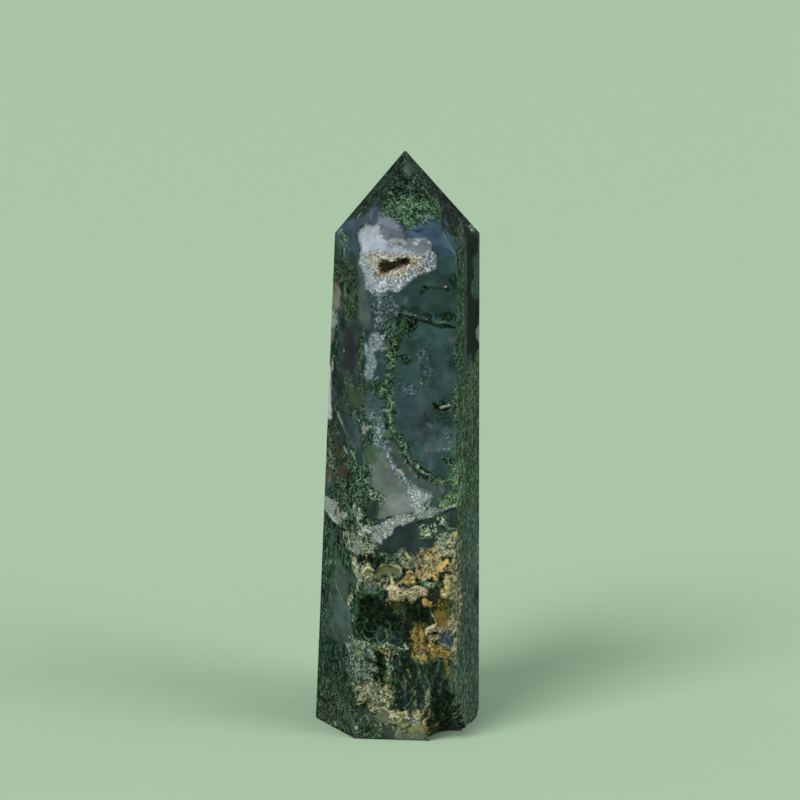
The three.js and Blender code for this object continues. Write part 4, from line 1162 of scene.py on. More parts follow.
def paint_cream_band(area, line, spot, hairs):
    """Beaded cream band with its eyes, and the layered ochre cell at its right end."""
    area("band cream", (-1.6, 24.4), (-0.4, 24.6), (1.2, 24.3), (3, 24.4), (4, 24.3), (4.5, 23.6),
         (4.2, 22.9), (3.3, 22.6), (2.8, 22.1), (1.8, 22), (1, 22.4), (0.3, 22.6), (-0.6, 22.3),
         (-1.3, 22.4), (-1.5, 23.4), edge=0.25, ragged=0.25)
    area("beige", (-0.8, 23.8), (0.4, 23.2), (2.6, 23.4), (3.4, 22.9), (1.6, 22.6), (-0.6, 22.8), edge=0.5,
         share=0.7)
    line("cream thread", 0.22, (-1.9, 24.1), (-0.5, 24.4), (0.8, 24), (2, 24.2), (3.2, 24.5), (4.2, 24.2),
         (4.6, 23.5))
    line("cream thread", 0.22, (-1.2, 23.9), (-1.35, 23), (-1.2, 22))
    line("cream thread", 0.22, (-0.9, 23.6), (-0.7, 22.8), (0, 22.4), (1, 22.2), (2, 21.9), (2.9, 22))
    line("low green", 0.2, (0.2, 24.4), (0.9, 24.05), (1.6, 24.2))
    for x in (0.3, 1.45):
        spot("cream thread", x, 23.5, 0.42, 0.28)
        spot("black spot", x, 23.5, 0.26, 0.13, edge=0.1)
    area("rust", (-1.2, 22.3), (0.2, 22.4), (0.9, 22.1), (0.8, 20.9), (-0.2, 20.5), (-1.2, 20.7), share=0.75)
    area("dark gap", (-0.8, 22), (0.4, 22), (0.5, 21.2), (-0.5, 20.9), share=0.7)
    line("ochre thread", 0.3, (-1.6, 22.5), (-1.75, 21.5), (-1.5, 20.8), (-1.1, 20.6))
    spot("cream thread", -0.7, 20.3, 0.3, 0.2)
    line("ochre thread", 0.4, (1.5, 21.4), (1.8, 20.7), (2.5, 20.5), (2.9, 20.9), (2.8, 21.7), (2, 21.9),
         (1.5, 21.5))
    area("tan cell", (3.2, 22.5), (4.2, 22.7), (5.4, 22.2), (6, 21.5), (5, 20.9), (3.8, 20.9), (3, 21.4),
         edge=0.3, ragged=0.3)
    line("ochre thread", 0.2, (3.2, 22.6), (3.9, 22.8), (4.4, 22.5), (4.3, 21.9), (3.6, 21.8))
    spot("rust", 3.7, 22.15, 0.2, 0.3)
    spot("cream thread", 3.95, 22.3, 0.16, 0.2)
    line("black spot", 0.22, (2.95, 22), (3.2, 22.7), (3.9, 22.95), (4.6, 22.7), (5.3, 22.2), (6.05, 21.7),
         (6.6, 22), (7.2, 22.6), (7.9, 22.95), (8.6, 23.3))
    area("dark gap", (4.6, 23.7), (5.2, 24.3), (5.8, 24.7), (6.4, 24.3), (6.5, 23.4), (7, 22.8), (6.5, 22),
         (6.1, 21.8), (5.4, 22.4), (4.7, 23), edge=0.3, ragged=0.3)
    area("cream", (4.4, 25.5), (5.6, 25.4), (5.6, 24.5), (4.8, 24.1), (4.3, 24.6), ragged=0.4)
    spot("dark gap", 5.2, 24.8, 0.25, 0.18)
    area("ochre", (5.5, 26.6), (6.3, 26.7), (6.4, 25.7), (5.6, 25.5), ragged=0.3)
    line("ochre thread", 0.2, (4.8, 26.3), (5.4, 26.3), (5.5, 25.8), (4.9, 25.7))
    spot("black spot", 5.2, 26.0, 0.18, 0.16)
    line("black spot", 0.22, (4.5, 25.6), (5.2, 25.45), (6, 25.5))
    line("ochre thread", 0.5, (6.3, 27.1), (6.8, 27.9), (7.4, 28.6), ragged=0.3)
    spot("cream thread", 6.85, 27.45, 0.4, 0.3)
    spot("rust", 7.1, 27.4, 0.18, 0.2)
    line("black spot", 0.25, (7, 26.55), (7.6, 26.75), (8.2, 26.65), (9, 26.35))
    area("ochre cell", (7.1, 26.35), (7.6, 26.5), (8.4, 26.5), (9, 26.2), (9.2, 25.6), (9, 24.6),
         (8.7, 23.8), (8.1, 23.2), (7.4, 22.9), (6.9, 22.9), (6.6, 23.3), (6.6, 24), (6.9, 24.6), (7.1, 25),
         (6.9, 25.6), edge=0.25, ragged=0.25)
    for inset in (0.3, 0.7, 1.1):
        line("cream thread", 0.16, (7.4, 26.4 - inset / 2), (8.4, 26.4 - inset / 2), (9.05 - inset, 25.6),
             (8.9 - inset, 24.6), (8.3 - inset / 2, 23.5), (7.4, 23.1), share=0.6)
    line("rust", 0.28, (7, 26.2), (6.8, 25.4), (7, 24.9), (6.9, 24.5))
    spot("black spot", 6.75, 25.95, 0.4, 0.3)
    line("dark gap", 0.4, (6.6, 26.6), (6.5, 25.6))
    for shift in (0.0, 0.35):
        line("cream thread", 0.18, (9.2 + shift, 25.2), (9.5 + shift, 24), (9.7 + shift, 23),
             (9.5 + shift, 22), (9.2 + shift, 21.2), ragged=0.3, share=0.75)
    area("green lace", (9, 28), (9.9, 28.2), (9.8, 25.4), (9.1, 25.2), share=0.7)


def paint_lower_left(area, line, spot, hairs):
    """Slate-green left facet with pale cells over dark green jasper."""
    area("side slate", (-15, 31), (-11, 31), (-9, 28), (-7.5, 24), (-7, 18), (-8, 14), (-15, 14), edge=0.8)
    area("side green", (-15, 32), (-9.8, 31.4), (-9.6, 28), (-10.2, 24), (-11, 16), (-15, 14), edge=0.8)
    line("green thread", 0.2, (-9.6, 26.5), (-9.5, 24), (-9.3, 22.5), (-8.4, 21), (-8, 19))
    line("green thread", 0.16, (-9.5, 24), (-8.6, 24.4), (-7.9, 25.6), share=0.7)
    area("brown grey", (-7.9, 25.6), (-6.2, 25.4), (-6, 24.2), (-7.6, 24), share=0.8)
    spot("thread", -10.4, 25.9, 0.25, 0.2)
    area("grey strip", (-9.5, 21.6), (-8.4, 21), (-7.2, 20.4), (-7, 17.4), (-8, 16.6), (-9.6, 17))
    line("cream arc", 0.55, (-5.8, 25), (-6.2, 23.5), (-7, 22), (-7.4, 20.9), (-6.9, 19.5), (-6.8, 17),
         ragged=0.5)
    area("black green", (-5.9, 20.6), (-5.4, 22.3), (-3.6, 22.6), (-1.8, 22), (-0.4, 20.6), (2.1, 20.4),
         (2.1, 17), (1.2, 15.3), (-1.6, 15.2), (-4.6, 15.2), (-5.9, 16.6), ragged=0.6)
    area("navy", (-3.3, 15.4), (-3.2, 18), (-2.1, 18.2), (-2, 15.6), edge=0.5, share=0.8)
    area("ink blue", (-1.2, 16.8), (1.3, 16.9), (1.3, 15.2), (-1.1, 15.2), share=0.8)
    line("green thread", 0.16, (0.6, 17.2), (0.75, 16.2), (0.7, 15.3))
    line("green thread", 0.18, (-5.3, 17.2), (-4.9, 16.3), (-4.3, 15.9))
    line("green thread", 0.16, (-2, 17.8), (-1.6, 17.1), (-1.5, 16.2))
    area("pale lace", (-7.5, 15.8), (-6.6, 17), (-6.2, 15.6), (-4.6, 15.3), (-3.9, 14.4), (-3.9, 12.6),
         (-3.4, 10.6), (-4.6, 9.8), (-6.4, 9.6), (-7.5, 10.6), ragged=1.2)
    line("cream lace", 0.5, (-6.7, 15.4), (-5.9, 15.6), (-5.3, 15.4))
    area("side navy", (-4.9, 14.9), (-3.9, 14.9), (-3.9, 12.9), (-5.1, 12.9), edge=0.4)
    spot("thread", -3.65, 13.8, 0.25, 0.22)
    line("green lace", 0.8, (-4.2, 15), (-2, 14.9), (0, 15), (1.6, 14.8), ragged=0.6)
    area("black green", (-3.5, 13.9), (-1.7, 14), (-1.6, 11), (-1.9, 10), (-3.2, 10), (-3.5, 11.6),
         ragged=0.5)
    line("green lace", 0.6, (-1.1, 14.1), (-1.1, 12.6), (-1.2, 11), ragged=0.5)
    line("black green", 0.6, (-0.1, 14.2), (-0.1, 11.5), (0, 9.6), ragged=0.4)
    area("cream arc", (0.1, 13.8), (0.9, 13.8), (1, 12.8), (0.2, 12.8), share=0.8)
    area("navy", (-9.7, 13.9), (-8.2, 13.8), (-8, 11.5), (-9.6, 11.4), share=0.9)
    area("side navy", (-15, 14.4), (-11.6, 14), (-11.2, 11.4), (-11.8, 9), (-15, 9), share=0.8)
    area("side navy", (-9.1, 11.2), (-8, 11), (-8, 9.5), (-9, 9.4))
    spot("thread", -7.8, 10.4, 0.2, 0.45, share=0.7)
    line("green thread", 0.2, (-8.5, 9.2), (-8.3, 8.2), (-7.9, 7.1))
    area("low green", (-12, 14), (-9.8, 13.6), (-9, 9), (-7, 8), (-6.6, 1), (-11, 3), (-12.4, 8), share=0.8)
    area("red brown", (-15, 11), (-12, 10.8), (-11.9, 8), (-15, 7.8), share=0.4, edge=0.6)
    area("side navy", (-15, 7.6), (-11.6, 7.2), (-11.4, 3), (-15, 2.8), share=0.6)
    line("tan smear", 0.2, (-14, 7), (-12.3, 7), (-10.6, 7), share=0.6)
    line("side slate", 0.3, (-11.9, 15.8), (-10.2, 15.6), (-8, 15.9), share=0.8)
    hairs(("green thread",), (-15, 31), (-9.6, 31), (-9.4, 22), (-10, 15), (-15, 15), density=1, length=1.5,
          spread=18, share=0.7)
    hairs(("deep green", "green thread", "deep green"), (-12, 14), (-7.6, 14), (-6.4, 9), (-5.8, 1), (-9, 0),
          (-12, 3), density=3.6, length=1.8, turn=96, spread=10, curl=12, share=0.75)
    hairs(("thread", "thread", "black spot"), (-7.5, 15.8), (-3.9, 15.2), (-3.4, 10), (-7.4, 9.8), density=5,
          length=0.9, spread=60, curl=50, share=0.75)
    area("leaf green", (-6.5, 14.8), (-5.6, 14.9), (-5.2, 14), (-5.6, 13.1), (-6.4, 13.3), share=0.75)
    hairs(("green thread",), (-5.6, 19), (1.8, 18.4), (1.6, 15.2), (-5.6, 15.2), density=1.8, length=1.5,
          spread=25, curl=25, share=0.5)


def paint_lower_right(area, line, spot, hairs):
    """Ochre body, rust and dark fibres at the right of the foot."""
    area("slate fibre", (1.4, 14.6), (9, 14), (9.2, 4), (0.2, 4), (-0.6, 10), edge=0.8)
    area("dark fibre", (0.6, 22), (5.6, 21.8), (9, 21.6), (9.2, 14), (2, 14), edge=0.6)
    area("black green", (2.3, 21.2), (4.8, 20.9), (4.9, 19.2), (2.4, 18.9), ragged=0.5)
    area("smooth ochre", (5.8, 20.9), (8.8, 21), (8.9, 19.5), (8, 18.4), (6.6, 18.4), (5.9, 18.8),
         ragged=0.4)
    area("rust", (6.4, 22.7), (8.4, 22.7), (8.6, 20.8), (6.2, 20.9), ragged=0.6)
    area("low cream", (4.4, 17.9), (5.6, 18.5), (7.4, 18.5), (8, 19.8), (9.2, 20.2), (9.2, 17.7),
         (7.6, 17.3), (6, 17.3), (4.6, 17.3), edge=0.3, ragged=0.3)
    area("beige", (5, 18.1), (7.2, 18.1), (7, 17.5), (5.2, 17.5), share=0.6)
    area("ochre column", (2.2, 19), (3.6, 18.9), (4.4, 17.6), (4.4, 15.6), (4.4, 13.4), (2.4, 13.2),
         (2.1, 16), ragged=0.6)
    area("rust", (2.2, 19.2), (4, 19), (4.3, 17.8), (2.4, 17.3), share=0.7, ragged=0.6)
    line("cream thread", 0.24, (5.2, 20.7), (5.9, 19), (5.65, 18.4), (4.95, 18.1), (4.5, 17.8), (4.5, 17),
         (4.9, 16.2), (5.3, 15.4))
    line("black spot", 0.18, (5.5, 20.4), (6.15, 19.1), (6, 18.2), share=0.6)
    spot("cream thread", 8.3, 19, 0.6, 0.4, share=0.45)
    area("low cream", (4.6, 17), (6.4, 17), (6.6, 16.2), (5.2, 15.9), (4.7, 16.3), ragged=0.4)
    line("black spot", 0.24, (4.7, 16.65), (5.05, 17), (6.1, 17.25), (6.7, 17.2), (7.2, 17.5), (7.75, 17.85),
         ragged=0.3)
    spot("cream thread", 7.4, 16.9, 0.3, 0.24)
    area("slate lilac", (6.6, 17), (8.7, 17.6), (8.8, 15), (6.4, 15), ragged=0.5)
    spot("milky quartz", 8.4, 17.2, 0.3, 0.3, share=0.6)
    for drop in (0.0, 0.45, 0.9):
        line("thread", 0.16, (6.1, 15.8 - drop), (7.3, 15.5 - drop), (8.5, 14.8 - drop), share=0.7)
    area("ochre column", (4.4, 15.6), (6.2, 15.4), (8.8, 14.2), (8.8, 13), (6.4, 12.8), (4.4, 13),
         ragged=0.7)
    area("olive", (2.9, 13.6), (5.9, 13.4), (5.9, 12.5), (3, 12.4), edge=0.4, share=0.6)
    spot("tan smear", 6.4, 13.5, 0.4, 0.25)
    spot("black spot", 6.95, 13.2, 0.3, 0.15)
    area("lilac", (3, 14.3), (4.1, 14.3), (4.1, 13.8), (3.1, 13.7), edge=0.3, share=0.6)
    line("cream thread", 0.2, (2.9, 13.5), (3.6, 13.45))
    line("ochre streak", 0.8, (7, 14), (7.5, 12.4), (7.9, 11.3), (8.35, 10.3), (8.8, 9.4), edge=0.4,
         ragged=0.4)
    line("ochre thread", 0.3, (8.8, 9.7), (8.8, 8.6), (8.8, 7.6), beads=0.8)
    line("ochre", 0.45, (9.2, 7), (9.2, 5.4))
    area("slate lilac", (8.1, 14), (9.3, 14), (9.3, 11.3), (8.3, 11.3), share=0.7)
    line("ochre thread", 0.2, (1.55, 11.2), (1.8, 10.5), (2, 9.8))
    line("rust", 0.3, (1.3, 9.8), (1.3, 8.6))
    area("slate blue", (3.8, 9.9), (4.9, 9.9), (4.9, 8.1), (3.9, 8.1), edge=0.5, share=0.5)
    line("green thread", 0.16, (3.4, 11.4), (3.4, 10))
    area("ink blue", (0.2, 8.2), (2.1, 8.1), (2.1, 6), (1.4, 4.9), (-0.9, 4.9), (-0.9, 6.1), (0.2, 6.2),
         share=0.9)
    line("black green", 0.5, (1.7, 9.2), (1.7, 7.4))
    line("cream thread", 0.2, (2.7, 8.6), (2.6, 7.2), (2.7, 5.7), beads=0.6)
    area("black green", (5.2, 7.7), (8.8, 7.9), (9, 4.4), (5.2, 4.4), ragged=0.6)
    line("bright lace", 0.7, (5.05, 8.6), (4.6, 8), (4.4, 7.4), (4.8, 6.8), (4.5, 5.8), (4.2, 5), ragged=0.5)
    line("cream thread", 0.22, (5.05, 8.6), (4.6, 8), (4.5, 7.3), (4.9, 6.8), (4.6, 5.8), (4.1, 5),
         ragged=0.3, beads=0.8)
    area("right slate", (9.1, 31), (15, 31), (15, 0), (9.3, 0), edge=0.4, share=0.75)
    area("slate blue", (11, 30), (15, 30), (15, 4), (12, 4), (11.4, 16), edge=1.2, share=0.4)
    hairs(("cream thread", "ochre thread", "black spot", "cream thread"), (7.6, 31.6), (9.4, 32.4),
          (9.6, 17), (8.6, 14), (7.9, 17.6), (8.6, 22), (8.2, 26), density=5, length=1.2, turn=80, spread=45,
          curl=45, share=0.85)
    hairs(("thread", "green thread", "black spot"), (9.3, 31), (15, 31), (15, 3), (9.5, 3), density=2.2,
          length=1.3, turn=86, spread=22, share=0.65)
    for x in (9.9, 10.6, 11.2, 11.9):
        line("side green", 0.4, (x, 30), (x + 0.1, 20), (x - 0.1, 10), (x, 1), edge=0.4, ragged=0.5,
             share=0.5)
    for x, z in ((9.7, 15.4), (10.3, 10.6), (10.2, 20.6), (9.8, 6.4)):
        line("thread", 0.16, (x, z + 1.5), (x + 0.35, z + 0.4), (x + 0.1, z - 1.2), (x - 0.25, z - 0.1),
             (x, z + 1.3), share=0.5)
    for z in (21.2, 22.4, 23.6):
        line("cream thread", 0.2, (9.1, z), (9.6, z + 0.3), (10, z - 0.3), share=0.7)
    area("green lace", (9.1, 10), (10, 10.2), (10, 8), (9.2, 7.9), share=0.5)
    hairs(("green thread", "black spot", "black spot"), (-0.6, 13), (8.6, 13), (8.8, 5), (0, 5), density=3.2,
          length=1.7, turn=93, spread=10, curl=12, share=0.7)
    hairs(("ochre thread", "black spot"), (2.2, 19), (4.4, 18), (4.6, 14.6), (8.8, 14.4), (8.6, 12.8),
          (2.4, 13), density=4.2, length=1, turn=85, curl=35, share=0.75)
    hairs(("green thread",), (9.6, 31), (12.6, 31), (12.6, 3), (9.6, 3), density=0.5, length=1.6, turn=90,
          spread=14, curl=14, share=0.5)


def paint_foot(area, line, spot, hairs):
    """Lace and slate along the sawn edge, and the worn corner."""
    area("bright lace", (-6, 8.8), (-4.2, 9), (-2.4, 8.6), (-1, 7.6), (-0.7, 6), (-1, 5), (-3.6, 5),
         (-4.6, 6), (-6, 7), ragged=1.2)
    spot("pink white", -3.9, 7.9, 1.1, 0.35, edge=0.5, share=0.5)
    spot("black spot", -6, 8.85, 0.3, 0.3)
    area("dark base", (-5.9, 6.4), (-4.2, 6.3), (-4.1, 5), (-5.9, 5))
    area("dark base", (-15, 5.4), (-6.4, 5.2), (-4.4, 4.4), (0, 2), (4, 1), (9.4, 5), (9.4, -3), (-15, -3),
         edge=0.6)
    for x in (-2.7, -1.9, -1.2):
        line("olive", 0.22, (x, 10), (x + 0.2, 8.8), (x - 0.1, 7.4), ragged=0.3, share=0.7)
    line("cream thread", 0.22, (-2.2, 6.1), (-1.4, 6.2), (-0.6, 6.5))
    spot("thread", -9.6, 0.9, 0.3, 0.35, share=0.7)
    spot("thread", -6.4, 1.9, 0.25, 0.3, share=0.7)
    area("mid slate", (-5.9, 4.9), (-4.1, 4.7), (-4, 2.9), (-5.8, 2.8))
    line("green thread", 0.2, (-5.5, 2.6), (-5.3, 3.6), (-4.5, 3.8), (-4.3, 2.6))
    area("beige", (-2.9, 4.9), (-1.6, 4.8), (-1, 4), (-1.1, 2.4), (-2.8, 2.2), edge=0.3)
    line("cream thread", 0.24, (-2.9, 5.2), (-1.6, 5.05), (-0.8, 4.2), ragged=0.3)
    area("low lace", (-3.6, 2.8), (-2.1, 2.7), (-2.1, 1.2), (-3.6, 1.2))
    area("fern", (-4.5, 2), (-3.4, 1.9), (-3.4, -1), (-4.5, -1))
    area("mid slate", (-1.9, 1.7), (0.1, 1.6), (0.2, -1), (-1.9, -1), share=0.8)
    area("cream arc", (-0.9, 4.3), (0.2, 4.5), (1.3, 4.6), (2, 4), (1.6, 2.6), (-0.9, 2.5), share=0.8)
    line("cream thread", 0.24, (-0.1, 4.9), (0.2, 4.55), (0.8, 4.45), (1.3, 4.7), (1.4, 4.1))
    line("white skin", 0.35, (1.5, 3.6), (2.2, 3.2), (3.2, 2.8), ragged=0.3, share=0.8)
    line("lilac", 0.3, (1.7, 3), (2.4, 2.7), (3, 2.5), share=0.7)
    area("bright lace", (2.4, 4.8), (3.8, 4.7), (3.9, 3.4), (2.5, 3.3), ragged=0.6)
    area("cream band", (2.5, 4.5), (3.6, 4.5), (3.7, 3.6), (2.7, 3.5), share=0.7)
    area("olive", (0.2, 2.7), (1.4, 2.6), (2, 1.4), (0.4, 1.2), edge=0.4, share=0.8)
    area("tan smear", (1.8, 2.5), (3.9, 2.6), (4.1, 1), (1.9, 1), edge=0.4)
    area("beige", (0.2, 1.1), (4.7, 1.1), (4.8, -1), (0.2, -1), share=0.8)
    area("dark gap", (4, 4.9), (5, 4.8), (5, 2.4), (4.2, 2.4), edge=0.3)
    line("ochre thread", 0.22, (4.95, 5.2), (4.9, 3.8), (4, 3.2), (4.2, 2.6), (4.6, 1.8), (4.8, 1), (5, 0))
    area("black green", (5.2, 5.1), (9.6, 5), (9.6, 0), (5.2, -0.6), share=0.8)
    area("rust", (5.4, 3.2), (7.4, 3), (9, 1.8), (8, 0), (5.4, -0.6), share=0.35, edge=0.6)
    spot("tan smear", 6.25, 2.5, 0.35, 0.3)
    spot("tan smear", 6.9, 4.3, 0.25, 0.2)
    for z in (3.3, 3.9, 4.5):
        line("beige", 0.3, (8.6, z), (9.6, z + 0.1), (10.5, z), share=0.8)
    hairs(("cream thread", "black spot"), (-6, 9), (-1, 8.4), (-0.6, 5), (-5.8, 5), density=6, length=0.9,
          spread=60, curl=50)
    hairs(("cream thread",), (-1, 5), (3.8, 5), (4.4, 0.6), (0, 1), density=1.6, length=0.8, spread=60,
          curl=50, share=0.6)
    hairs(("green thread",), (-9, 5), (-3, 5), (-3, 0), (-9, 1), density=1.2, length=1.1, spread=40, curl=35,
          share=0.6)


def paint_hidden_side(area, line, spot, hairs):
    """The turned-away facets, finished like the front: a quartz vein, an eye and moss clusters."""
    area("milky quartz", (19.5, 76), (21.4, 75.4), (21.6, 70), (20.6, 64), (21.4, 57), (20, 52), (18.8, 57),
         (19.2, 64), (18.6, 70))
    area("white quartz", (19.8, 74), (20.8, 73), (20.4, 68), (19.6, 69))
    line("thread", 0.5, (20, 52), (21.6, 46), (23.8, 41), (24.6, 36), ragged=0.4)
    area("pale slate", (23.6, 70), (27, 72), (28.4, 64), (27, 55), (24, 54), (23, 62), edge=1)
    area("green clump", (23, 50), (26, 52), (28.6, 49), (27.4, 45), (24, 44.6))
    area("leaf green", (15, 44), (18, 46), (20.6, 42), (19, 37), (15.6, 36.4))
    line("dark vein", 0.6, (13, 66), (16, 64), (18.6, 60), (22, 58), (27, 53), ragged=0.4)
    area("eye rim", (-18, 70), (-14.6, 71), (-13.6, 66), (-15, 60), (-18.4, 59), (-20.4, 64))
    area("eye centre", (-17.6, 68.6), (-15.4, 69), (-14.8, 66), (-15.8, 62), (-17.8, 61), (-19, 64.6))
    line("thread", 0.25, (-18, 70), (-20.4, 64), (-18.4, 59), (-15, 60), (-13.6, 66), share=0.7)
    area("left moss", (-22, 60), (-19, 58), (-18, 52), (-21, 47), (-25, 50), (-25.6, 56))
    area("pale lobe", (-27, 74), (-24, 75), (-23.4, 70), (-25, 65), (-28, 66), (-29.4, 70))
    area("bluish column", (-15.6, 52), (-13.4, 52), (-13, 44), (-14.4, 38), (-16, 42))
    area("warm grey", (-24, 43), (-20, 42), (-19, 36), (-23, 33.6), (-27, 37))
    line("vein white", 0.5, (-28, 35), (-24, 33), (-20, 35.4), (-16, 33), ragged=0.4)
    area("cream lace", (-24, 28), (-18, 29), (-16, 24), (-19, 20), (-25, 21))
    area("ochre", (-22, 26), (-19, 26.4), (-18.4, 23.4), (-21, 22))
    area("black green", (-16, 20), (-13, 20), (-13, 8), (-17, 7))
    area("pale lace", (14, 24), (18, 27), (22, 25), (22, 20), (17, 18))
    area("ochre lace", (24, 27), (28, 28), (28.4, 20), (25, 18))
    area("black green", (15, 15), (20, 16), (22, 8), (17, 4))
    area("fern", (23, 14), (27, 15), (28, 6), (24, 4))


# Where a pattern starts to show and how softly, and the roughness of polished and of worn stone
FIGURE_FROM, FIGURE_EDGE = 0.9, 0.45
POLISHED, MATTE = 0.1, 0.75


def place_in_millimetres(tree):
    place = put(tree, "TexCoord", output="Object")
    return put(tree, "VectorMath", {0: place, "Scale": 1 / MM}, operation="SCALE")


def noise(tree, place, scale, detail=3.0, rough=0.6, low=0.3, high=0.7, warp=0.0):
    """Noise spread over 0 to 1; scale is in lumps per millimetre."""
    inputs = {"Vector": place, "Scale": scale, "Detail": detail, "Roughness": rough, "Distortion": warp}
    value = put(tree, "TexNoise", inputs)
    return put(tree, "MapRange", {"Value": value, "From Min": low, "From Max": high})


def ridge(tree, value, sharpness):
    """Thin ridges where a value passes its middle."""
    away = calculate(tree, "ABSOLUTE", calculate(tree, "SUBTRACT", value, 0.5))
    away = calculate(tree, "MULTIPLY", away, sharpness)
    return put(tree, "Math", {0: 1.0, 1: away}, operation="SUBTRACT", use_clamp=True)


def contours(tree, value, count):
    """Thin lines that follow a value like the bands of an agate."""
    phase = calculate(tree, "FRACT", calculate(tree, "MULTIPLY", value, count))
    return ridge(tree, phase, 2.0)


def raw_noise(tree, place, scale, detail, rough=0.5):
    inputs = {"Vector": place, "Scale": scale, "Detail": detail, "Roughness": rough}
    return put(tree, "TexNoise", inputs)


def sum_of(tree, *parts):
    """Adds values, each with its weight."""
    total = 0.0
    for value, weight in parts:
        total = calculate(tree, "MULTIPLY_ADD", value, weight, total)
    return total


def shown(tree, pattern, share):
    """How far a pattern shows, for the share painted there."""
    value = calculate(tree, "ADD", pattern, share)
    limits = {"From Min": FIGURE_FROM, "From Max": FIGURE_FROM + FIGURE_EDGE}
    return put(tree, "MapRange", {"Value": value, **limits})


def polished_agate():
    """Fine moss, grain, lace and streaks between the painted colours, under a clear polish."""
    material, tree, shader = new_material("polished moss agate")
    place = place_in_millimetres(tree)
    drift = put(tree, "TexNoise", {"Vector": place, "Scale": 0.8, "Detail": 3.0}, output="Color")
    drift = put(tree, "VectorMath", {0: drift, "Scale": 1.8}, operation="SCALE")
    bent = put(tree, "VectorMath", {0: place, 1: drift}, operation="ADD")
    beside = put(tree, "VectorMath", {0: bent, 1: (9.1, 4.7, 2.3)}, operation="ADD")
    along = put(tree, "VectorMath", {0: bent, 1: (1.0, 1.0, 0.16)}, operation="MULTIPLY")

    flecks = noise(tree, place, 3.3, 1.0, 0.5, 0.33, 0.67)
    threads = calculate(tree, "MAXIMUM", ridge(tree, raw_noise(tree, bent, 1.0, 4.0, 0.6), 21.0),
                        ridge(tree, raw_noise(tree, beside, 1.9, 3.0, 0.6), 15.0))
    vary = noise(tree, beside, 1.1, 2.0, 0.5, 0.25, 0.6)
    threads = calculate(tree, "MULTIPLY", threads, calculate(tree, "MULTIPLY_ADD", vary, 0.6, 0.4))
    moss = sum_of(tree, (threads, 0.75), (flecks, 0.35))
    grain = sum_of(tree, (flecks, 0.8), (noise(tree, bent, 1.8, 3.0), 0.2))
    bands = contours(tree, raw_noise(tree, bent, 0.5, 2.0), 7.5)
    lace = calculate(tree, "MAXIMUM", bands, calculate(tree, "MULTIPLY", threads, 0.8))
    lace = sum_of(tree, (lace, 0.6), (flecks, 0.4))
    fibres = ridge(tree, raw_noise(tree, along, 1.5, 3.0, 0.6), 16.0)
    streaks = sum_of(tree, (fibres, 0.55), (noise(tree, along, 3.0, 2.0), 0.45))
    haze = noise(tree, bent, 0.45, 4.0, 0.55)
    strands = ridge(tree, raw_noise(tree, beside, 0.5, 4.0, 0.6), 30.0)
    strands = calculate(tree, "MULTIPLY", strands, noise(tree, place, 0.7, 2.0))
    clefts = ridge(tree, raw_noise(tree, bent, 0.62, 4.0, 0.6), 20.0)

    painted = put(tree, "Attribute", output="Color", attribute_name="patterns")
    shares = put(tree, "SeparateColor", {"Color": painted}).node.outputs
    fibre = put(tree, "Attribute", output="Alpha", attribute_name="patterns")
    strongest = calculate(tree, "MAXIMUM", fibre, shares[0])
    for share in shares[1:]:
        strongest = calculate(tree, "MAXIMUM", strongest, share)
    calm = put(tree, "MapRange", {"Value": strongest, "From Max": 0.3, "To Min": 1.0, "To Max": 0.0})
    mask = calculate(tree, "MAXIMUM", calculate(tree, "MULTIPLY", haze, calm),
                     shown(tree, streaks, fibre))
    relief = calculate(tree, "MULTIPLY", calculate(tree, "SUBTRACT", streaks, 0.5), fibre)
    for pattern, share, carved in zip((moss, grain, lace), shares, (1.0, 0.35, 1.0)):
        mask = calculate(tree, "MAXIMUM", mask, shown(tree, pattern, share))
        cut_in = calculate(tree, "MULTIPLY_ADD", pattern, carved, -0.5 * carved)
        relief = calculate(tree, "MULTIPLY_ADD", cut_in, share, relief)

    tangled = calculate(tree, "MAXIMUM", shares[0], shares[2])
    strands = calculate(tree, "MULTIPLY", strands, calculate(tree, "MULTIPLY", tangled, 2.0))
    mask = calculate(tree, "MAXIMUM", mask, strands)
    clefts = calculate(tree, "MULTIPLY", clefts, tangled)
    relief = sum_of(tree, (relief, 3.5), (strands, 0.5), (clefts, -1.0))

    body = put(tree, "Attribute", output="Color", attribute_name="body")
    figure = put(tree, "Attribute", output="Color", attribute_name="figure")
    colour = blend(tree, mask, body, figure)
    depth = noise(tree, place, 0.35, 3.0)
    shade = put(tree, "MapRange", {"Value": depth, "To Min": 0.86, "To Max": 1.14})
    shade = calculate(tree, "MAXIMUM", calculate(tree, "ADD", relief, shade), 0.25)
    colour = put(tree, "VectorMath", {0: colour, "Scale": shade}, operation="SCALE")
    tree.links.new(colour, shader.inputs["Base Color"])

    matte = put(tree, "Attribute", output="Alpha", attribute_name="body")
    rough = calculate(tree, "MULTIPLY_ADD", matte, MATTE - POLISHED, POLISHED)
    rough = calculate(tree, "MULTIPLY_ADD", flecks, 0.05, rough)
    tree.links.new(rough, shader.inputs["Roughness"])
    shader.inputs["Specular IOR Level"].default_value = 0.5
    height = calculate(tree, "MULTIPLY", flecks, matte)
    bump = put(tree, "Bump", {"Height": height, "Distance": 0.15 * MM, "Strength": 0.6}, output="Normal")
    tree.links.new(bump, shader.inputs["Normal"])
    return material


def druzy_material():
    """Small quartz crystals, clear to ochre."""
    material, tree, shader = new_material("druzy quartz")
    stain = noise(tree, place_in_millimetres(tree), 1.1, 2.0)
    colour = blend(tree, stain, DRUSE_OCHRE, DRUSE_CLEAR)
    tree.links.new(colour, shader.inputs["Base Color"])
    shader.inputs["Roughness"].default_value = 0.18
    return material


